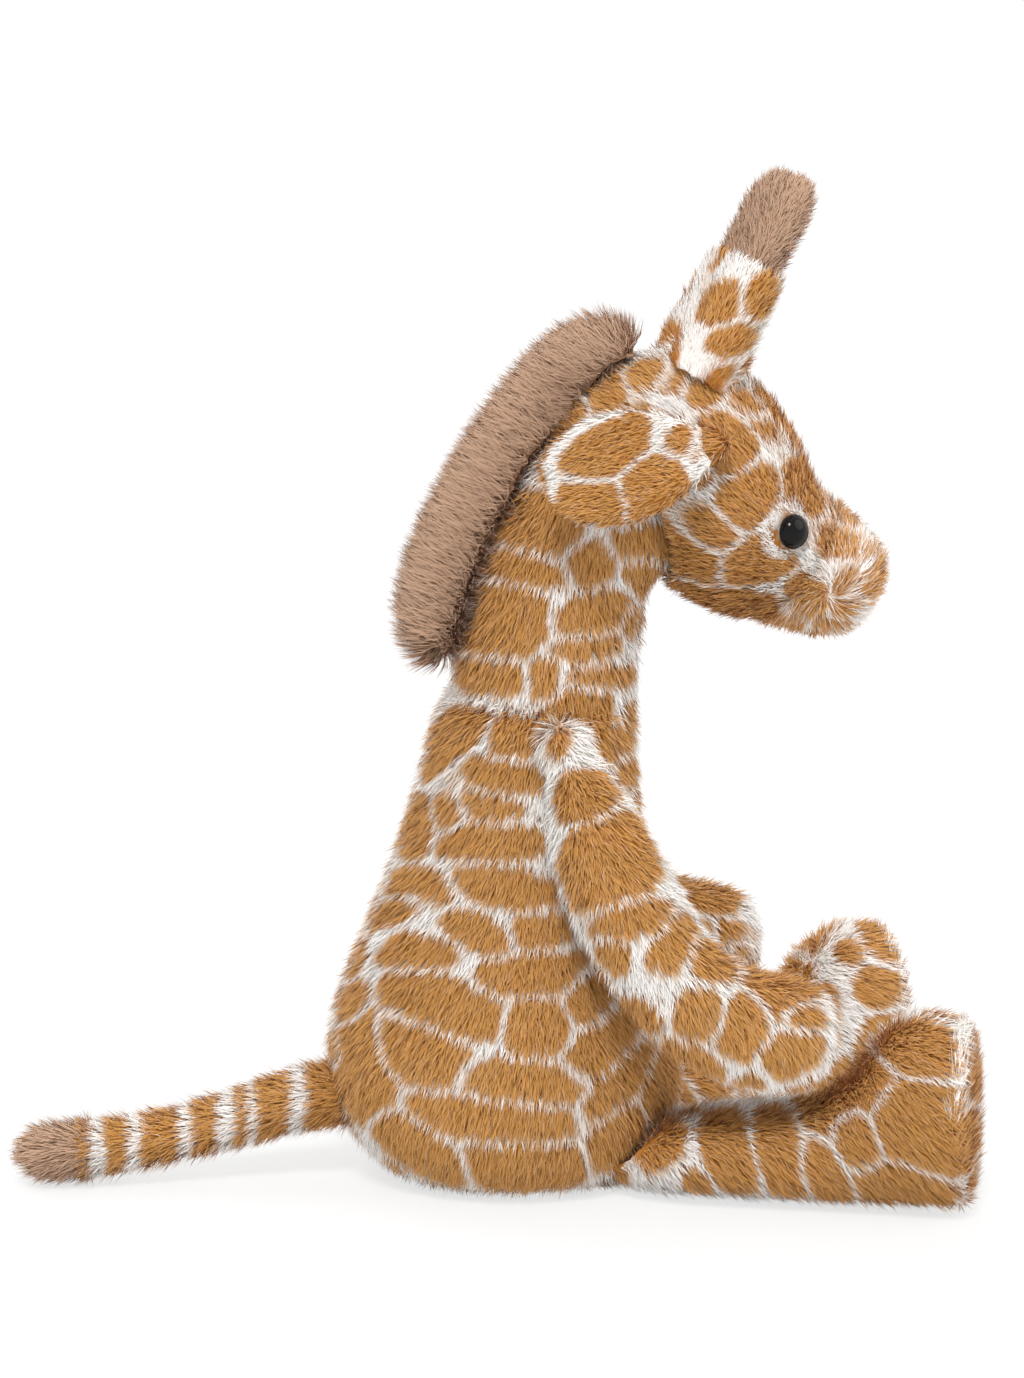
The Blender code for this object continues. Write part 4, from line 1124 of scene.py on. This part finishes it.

# %% [markdown]
# ## Sewing it together
# Each form becomes a skin piece, with its pile on it. Both move with the body that they are sewn to. One
# cloth runs over some joints: the neck turns on the torso, the mane runs from the neck to the head, and
# each leg swings at the hip. A piece that rode on one body would tear from the other there, so such a piece
# is kept off both bodies, and its two bodies and a start and an end on either side of the joint are listed.

# %% Cloth that runs across a joint
TWIST_BELOW = 13 * MM
TWIST_ABOVE = 25 * MM
NAPE_BACK = Vector((-43, 0, 5)) * MM
NAPE_TOP = Vector((-3, 0, 49)) * MM
HIP_START = 8 * MM
HIP_END = 34 * MM
twist_start = JOINTS["neck"] - Vector((0, 0, TWIST_BELOW))
twist_end = JOINTS["neck"] + Vector((0, 0, TWIST_ABOVE))
BENDS = {
    "twist": ("torso", "neck", twist_start, twist_end),
    "nape": ("neck", "head", JOINTS["head"] + NAPE_BACK, JOINTS["head"] + NAPE_TOP),
}
for side, sign in SIDES:
    leg = f"leg_{side}"
    along = leg_way(sign)
    BENDS[leg] = ("torso", leg, JOINTS[leg] + along * HIP_START, JOINTS[leg] + along * HIP_END)
print("bends:", ", ".join(BENDS))


def follow(piece, body):
    """Lets a piece move with its body; a piece that runs over a joint has its place moved into its mesh
    instead.
    """
    if body in BENDS:
        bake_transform(piece)
    else:
        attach(piece, body)


# %% Bare rings round the eyes
EYE_CLEAR = 6.3 * MM
EYE_WHITE = 9.0 * MM
EYE_ZONE = 3 * EYE_WHITE
WHITE_FADE = 2 * MM
EYE_FADE = 9 * MM
SHORTEST = 0.35


def eye_distance(roots):
    """How far each root near an eye is from the line through the eye, and endless for the others."""
    away = np.full(len(roots), np.inf)
    for centre, axis in eye_axes.values():
        offset = roots - centre
        flat = offset - (offset @ axis)[:, None] * axis
        near_eye = np.linalg.norm(offset, axis=1) < EYE_ZONE
        away = np.where(near_eye, np.minimum(away, np.linalg.norm(flat, axis=1)), away)
    return away


# %% Dye and shade of each strand
PRINT_HEIGHT = 0.7
OWN_SHADE = 0.7
PATCH_SHADE = 0.15
PATCH_RATE = 0.5


def print_gold(roots, tips, away, gold, own_spots, blur):
    """How gold each strand is: it is printed most of the way up, and is pale by an eye."""
    printed = roots * (1 - PRINT_HEIGHT) + tips * PRINT_HEIGHT
    share = gold(printed, own_spots) * np.clip((away - EYE_WHITE) / WHITE_FADE, 0, 1)
    return np.clip(share + rng.normal(0, blur, len(share)), 0, 1)


def own_shade(roots):
    """How light each strand is, by itself and with the patch of cloth that it stands in."""
    return rng.random(len(roots)) * OWN_SHADE + (wobble(roots * PATCH_RATE) + 1) * PATCH_SHADE


# %% Splitting a pile into pieces
def split(roots):
    """Which strands go to each piece: all, a side, or the upper or lower half of a side."""
    left = roots[:, 1] >= 0
    upper = roots[:, 2] >= np.median(roots[:, 2])
    return {
        "": np.ones(len(roots), bool),
        "left": left,
        "right": ~left,
        "left_upper": left & upper,
        "left_lower": left & ~upper,
        "right_upper": ~left & upper,
        "right_lower": ~left & ~upper,
    }


# %% The cloth of a form
def cloth(name, own_spots, gold, skin):
    """The skin piece of one form, dyed where the cloth is printed."""
    mesh = bpy.data.meshes.new(f"{name}_skin")
    forms[name].to_mesh(mesh)
    if own_spots or gold is not gold_share:
        places = np.array([vertex.co for vertex in mesh.vertices])
        mark(mesh, "spot", gold(places, own_spots))
    mesh.shade_smooth()
    return add_piece(f"{name}_skin", mesh, skin)


# %% Cloth and pile together
def dress(name, node, body, slot, fur, skin, nap, length, lean, width, gold=gold_share,
          hidden_by=(), fill=0.7, density=1.0, parts=("",), pull=0.25, blur=0.06):
    """The skin of one form and its pile, in one piece or in a few."""
    form = forms[name]
    form.normal_update()
    form.faces.index_update()
    own_spots = spots.get(name, [])
    hidden = inside_faces(form, [forms[other] for other in hidden_by])
    roots, normals = roots_on(form, DENSITY * density, hidden)
    away = eye_distance(roots)
    keep = away > EYE_CLEAR
    roots, normals, away = roots[keep], normals[keep], away[keep]
    sizes = length * np.clip(SHORTEST + (away - EYE_CLEAR) / EYE_FADE, SHORTEST, 1)
    ways = unit(nap(roots) if callable(nap) else np.tile(np.array(nap, float), (len(roots), 1)))
    corners, shading = strands(roots, normals, ways, sizes, lean, width, pull)
    share = print_gold(roots, corners[:, -1], away, gold, own_spots, blur)
    shade = own_shade(roots)
    labels = split(roots)
    for part in parts:
        chosen = labels[part]
        title = f"{name}_fur_{part}".rstrip("_")
        piece = strand_mesh(title, corners[chosen], shading[chosen], share[chosen], shade[chosen], fur)
        follow(piece, body)
        print(title, int(chosen.sum()), "strands")
    piece = cloth(name, own_spots, gold, skin)
    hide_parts(node)
    follow(piece, body)


# %% [markdown]
# ## Nap
# Pile lies the way it was brushed when the panel was cut: down the body, out along the limbs and up the
# horns. One way does for each of those. Round the head one way would part the pile at the nose, so there it
# runs back from the nose, and on each side of the muzzle it swirls out from one point, as the photograph
# shows.

# %% Nap of head and muzzle
SWIRL_PIXEL = (829, 596)
SWIRL_TURN = 0.7
muzzle_points = (vertex.co for vertex in forms["muzzle"].verts)
NOSE = np.array(max(muzzle_points, key=lambda place: place.dot(HEAD_ALONG)))
SWIRL = BVHTree.FromBMesh(forms["muzzle"]).ray_cast(EYE_POINT, pixel_ray(*SWIRL_PIXEL))[0]
print("nose:", np.round(NOSE / MM, 1), "swirl:", np.round(np.array(SWIRL) / MM, 1))


def head_nap(points):
    """The nap of the head runs back from the nose."""
    return points - NOSE


def muzzle_nap(points):
    """The nap of the muzzle swirls out from one point on each of its sides."""
    middles = np.tile(np.array(SWIRL), (len(points), 1))
    middles[:, 1] *= -np.sign(points[:, 1])
    outwards = points - middles
    sideways = np.zeros_like(points)
    sideways[:, 1] = np.sign(points[:, 1])
    return outwards + np.cross(sideways, outwards) * SWIRL_TURN


# %% Torso, neck and head
BODY_STRAND = 7.4 * MM
HEAD_STRAND = 6.0 * MM
PLUSH = dict(slot="spotted_plush", fur=spotted_fur, skin=spotted_skin, width=0.42 * MM)
BROWN = dict(slot="taupe_plush", fur=taupe_fur, skin=taupe_skin, width=0.40 * MM)
QUARTERS = ("left_upper", "left_lower", "right_upper", "right_lower")
HALVES = ("left", "right")
dress("torso_back", "torso_back_cover", "twist", nap=(-0.2, 0, -1), length=BODY_STRAND, lean=1.0,
      parts=QUARTERS, hidden_by=("neck",), **PLUSH)
dress("torso_front", "torso_front_cover", "twist", nap=(0.15, 0, -1), length=BODY_STRAND, lean=1.0,
      parts=HALVES, hidden_by=("neck", "arm_left", "arm_right", "leg_left", "leg_right"), **PLUSH)
dress("neck", "neck_cover", "twist", nap=(-0.1, 0, -1), length=BODY_STRAND, lean=1.0,
      parts=HALVES, hidden_by=("head", "torso_back", "torso_front"), **PLUSH)
dress("head", "head_cover", "head", nap=head_nap, length=HEAD_STRAND, lean=1.1,
      parts=HALVES, hidden_by=("neck",), **PLUSH)
dress("muzzle", "muzzle_cover", "head", nap=muzzle_nap, length=HEAD_STRAND, lean=1.0,
      blur=0.3, **PLUSH)

# %% Mane and tail
MANE_STRAND = 12.0 * MM
TAIL_STRAND = 7.5 * MM
dress("mane", "mane", "nape", nap=(-0.85, 0, 0.5), length=MANE_STRAND, lean=0.6,
      density=1.6, pull=0.2, **BROWN)
dress("tail", "tail_cover", "tail", nap=(-1, 0, -0.1), length=TAIL_STRAND, lean=0.85, gold=tail_gold,
      hidden_by=("torso_back",), **PLUSH)
dress("tail_tuft", "tail_tip", "tail", nap=(-1, 0, -0.05), length=TAIL_STRAND, lean=0.8, **BROWN)

# %% Limbs, horns and ears
LIMB_STRAND = 7.0 * MM
TIP_STRAND = 5.5 * MM
SMALL_STRAND = 5.0 * MM
LINING_STRAND = 4.5 * MM
for side, sign in SIDES:
    dress(f"arm_{side}", f"arm_cover_{side}", f"arm_{side}", nap=(0.35, 0, -0.9),
          length=LIMB_STRAND, lean=1.0, hidden_by=("torso_back", "torso_front", f"leg_{side}"), **PLUSH)
    dress(f"leg_{side}", f"leg_cover_{side}", f"leg_{side}", nap=(0.7, 0.2 * sign, -0.5),
          length=LIMB_STRAND, lean=1.0, hidden_by=("torso_back", "torso_front", f"arm_{side}"), **PLUSH)
    dress(f"sole_{side}", f"sole_{side}", f"leg_{side}", nap=(0.1, 0, 1),
          length=LIMB_STRAND, lean=0.9, **PLUSH)
    dress(f"horn_{side}", f"horn_cover_{side}", f"horn_{side}", nap=HORN_WAY,
          length=SMALL_STRAND, lean=0.95, hidden_by=("head", f"horn_tip_{side}"), **PLUSH)
    dress(f"horn_tip_{side}", f"horn_tip_{side}", f"horn_{side}", nap=HORN_WAY,
          length=TIP_STRAND, lean=0.8, density=1.4, pull=0.15, **BROWN)
    dress(f"ear_back_{side}", f"ear_back_{side}", f"ear_{side}", nap=EAR_WAY,
          length=SMALL_STRAND, lean=1.05, hidden_by=("head",), **PLUSH)
    dress(f"ear_lining_{side}", f"ear_lining_{side}", f"ear_{side}", nap=EAR_WAY,
          length=LINING_STRAND, lean=1.1, hidden_by=(f"ear_back_{side}", "head"), **PLUSH)

# %% [markdown]
# ## Stuffing
# Fibre fill is pushed into each cover until it is tight, and takes its form with soft lumps. It doesn't
# show, but the toy is built with it. The frame's solid is remeshed as a skin is, and a gentle noise makes
# the lumps.

# %% Stuffing
LUMP = 0.8 * MM
LUMP_TOP = 0.5
LUMP_RATE = 0.6
LUMP_VOXEL = 2 * MM
FILLINGS = {
    "torso_stuffing": "torso",
    "neck_stuffing": "neck",
    "head_stuffing": "head",
    "tail_stuffing": "tail",
}
for side, _ in SIDES:
    for limb in ("arm", "leg", "horn"):
        FILLINGS[f"{limb}_stuffing_{side}"] = f"{limb}_{side}"
for node, body in FILLINGS.items():
    form = form_of((node,), LUMP, LUMP_VOXEL)
    form.normal_update()
    places = np.array([vertex.co for vertex in form.verts])
    for vertex, lump in zip(form.verts, wobble(places * LUMP_RATE)):
        vertex.co += vertex.normal * (min(lump, LUMP_TOP) * LUMP)
    mesh = as_mesh(f"{node}_fill", form)
    mesh.shade_smooth()
    piece = add_piece(f"{node}_fill", mesh, fibre_finish)
    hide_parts(node)
    follow(piece, body)
print("fillings:", len(FILLINGS))

# %% [markdown]
# ## Eyes
# Each eye is one moulded button: a high dome, a thin rim and a stem that goes through the cloth into its
# washer. A ball cut in half would give a dome of one height only. So the whole button is spun from its
# profile, which starts at the top of the dome.

# %% Profile of the button
EYE_HALF = 6.0 * MM
DOME_HIGH = 4.6 * MM
DOME_STEPS = 12
RIM_DEEP = 0.8 * MM
RIM_TAPER = 0.97
STEM_HALF = 2.0 * MM
STEM_LONG = 8.0 * MM
profile = [(0, 0)]
for step in range(1, DOME_STEPS + 1):
    angle = math.pi / 2 * step / DOME_STEPS
    profile.append((EYE_HALF * math.sin(angle), DOME_HIGH * (math.cos(angle) - 1)))
low_edge = -DOME_HIGH - RIM_DEEP
stem_end = low_edge - STEM_LONG
profile += [(EYE_HALF * RIM_TAPER, low_edge), (STEM_HALF, low_edge), (STEM_HALF, stem_end), (0, stem_end)]
print("profile points:", len(profile))

# %% Eyes and washers
TURN_STEPS = 48
SHARP_ANGLE = math.radians(40)
for side, _ in SIDES:
    top, axis = eye_axes[side]
    shape = bmesh.new()
    line = [shape.verts.new((radius, 0, height)) for radius, height in profile]
    edges = [shape.edges.new(pair) for pair in zip(line, line[1:])]
    full_turn = dict(cent=(0, 0, 0), axis=(0, 0, 1), angle=math.tau, steps=TURN_STEPS, use_merge=True)
    bmesh.ops.spin(shape, geom=line + edges, **full_turn)
    bmesh.ops.remove_doubles(shape, verts=shape.verts, dist=WELD)
    bmesh.ops.recalc_face_normals(shape, faces=shape.faces)
    turn = Vector((0, 0, 1)).rotation_difference(Vector(axis)).to_matrix().to_4x4()
    bmesh.ops.transform(shape, matrix=Matrix.Translation(Vector(top)) @ turn, verts=shape.verts)
    mesh = as_mesh(f"eye_button_{side}", shape)
    mesh.shade_smooth()
    mesh.set_sharp_from_angle(angle=SHARP_ANGLE)
    eye = add_piece(f"eye_button_{side}", mesh, eye_finish)
    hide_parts(f"eye_{side}")
    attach(eye, "head")
    washer = frame["nodes"][f"eye_washer_{side}"]
    for place in washer.material_slots:
        place.material = washer_finish
    print("eye", side, len(mesh.polygons), "faces")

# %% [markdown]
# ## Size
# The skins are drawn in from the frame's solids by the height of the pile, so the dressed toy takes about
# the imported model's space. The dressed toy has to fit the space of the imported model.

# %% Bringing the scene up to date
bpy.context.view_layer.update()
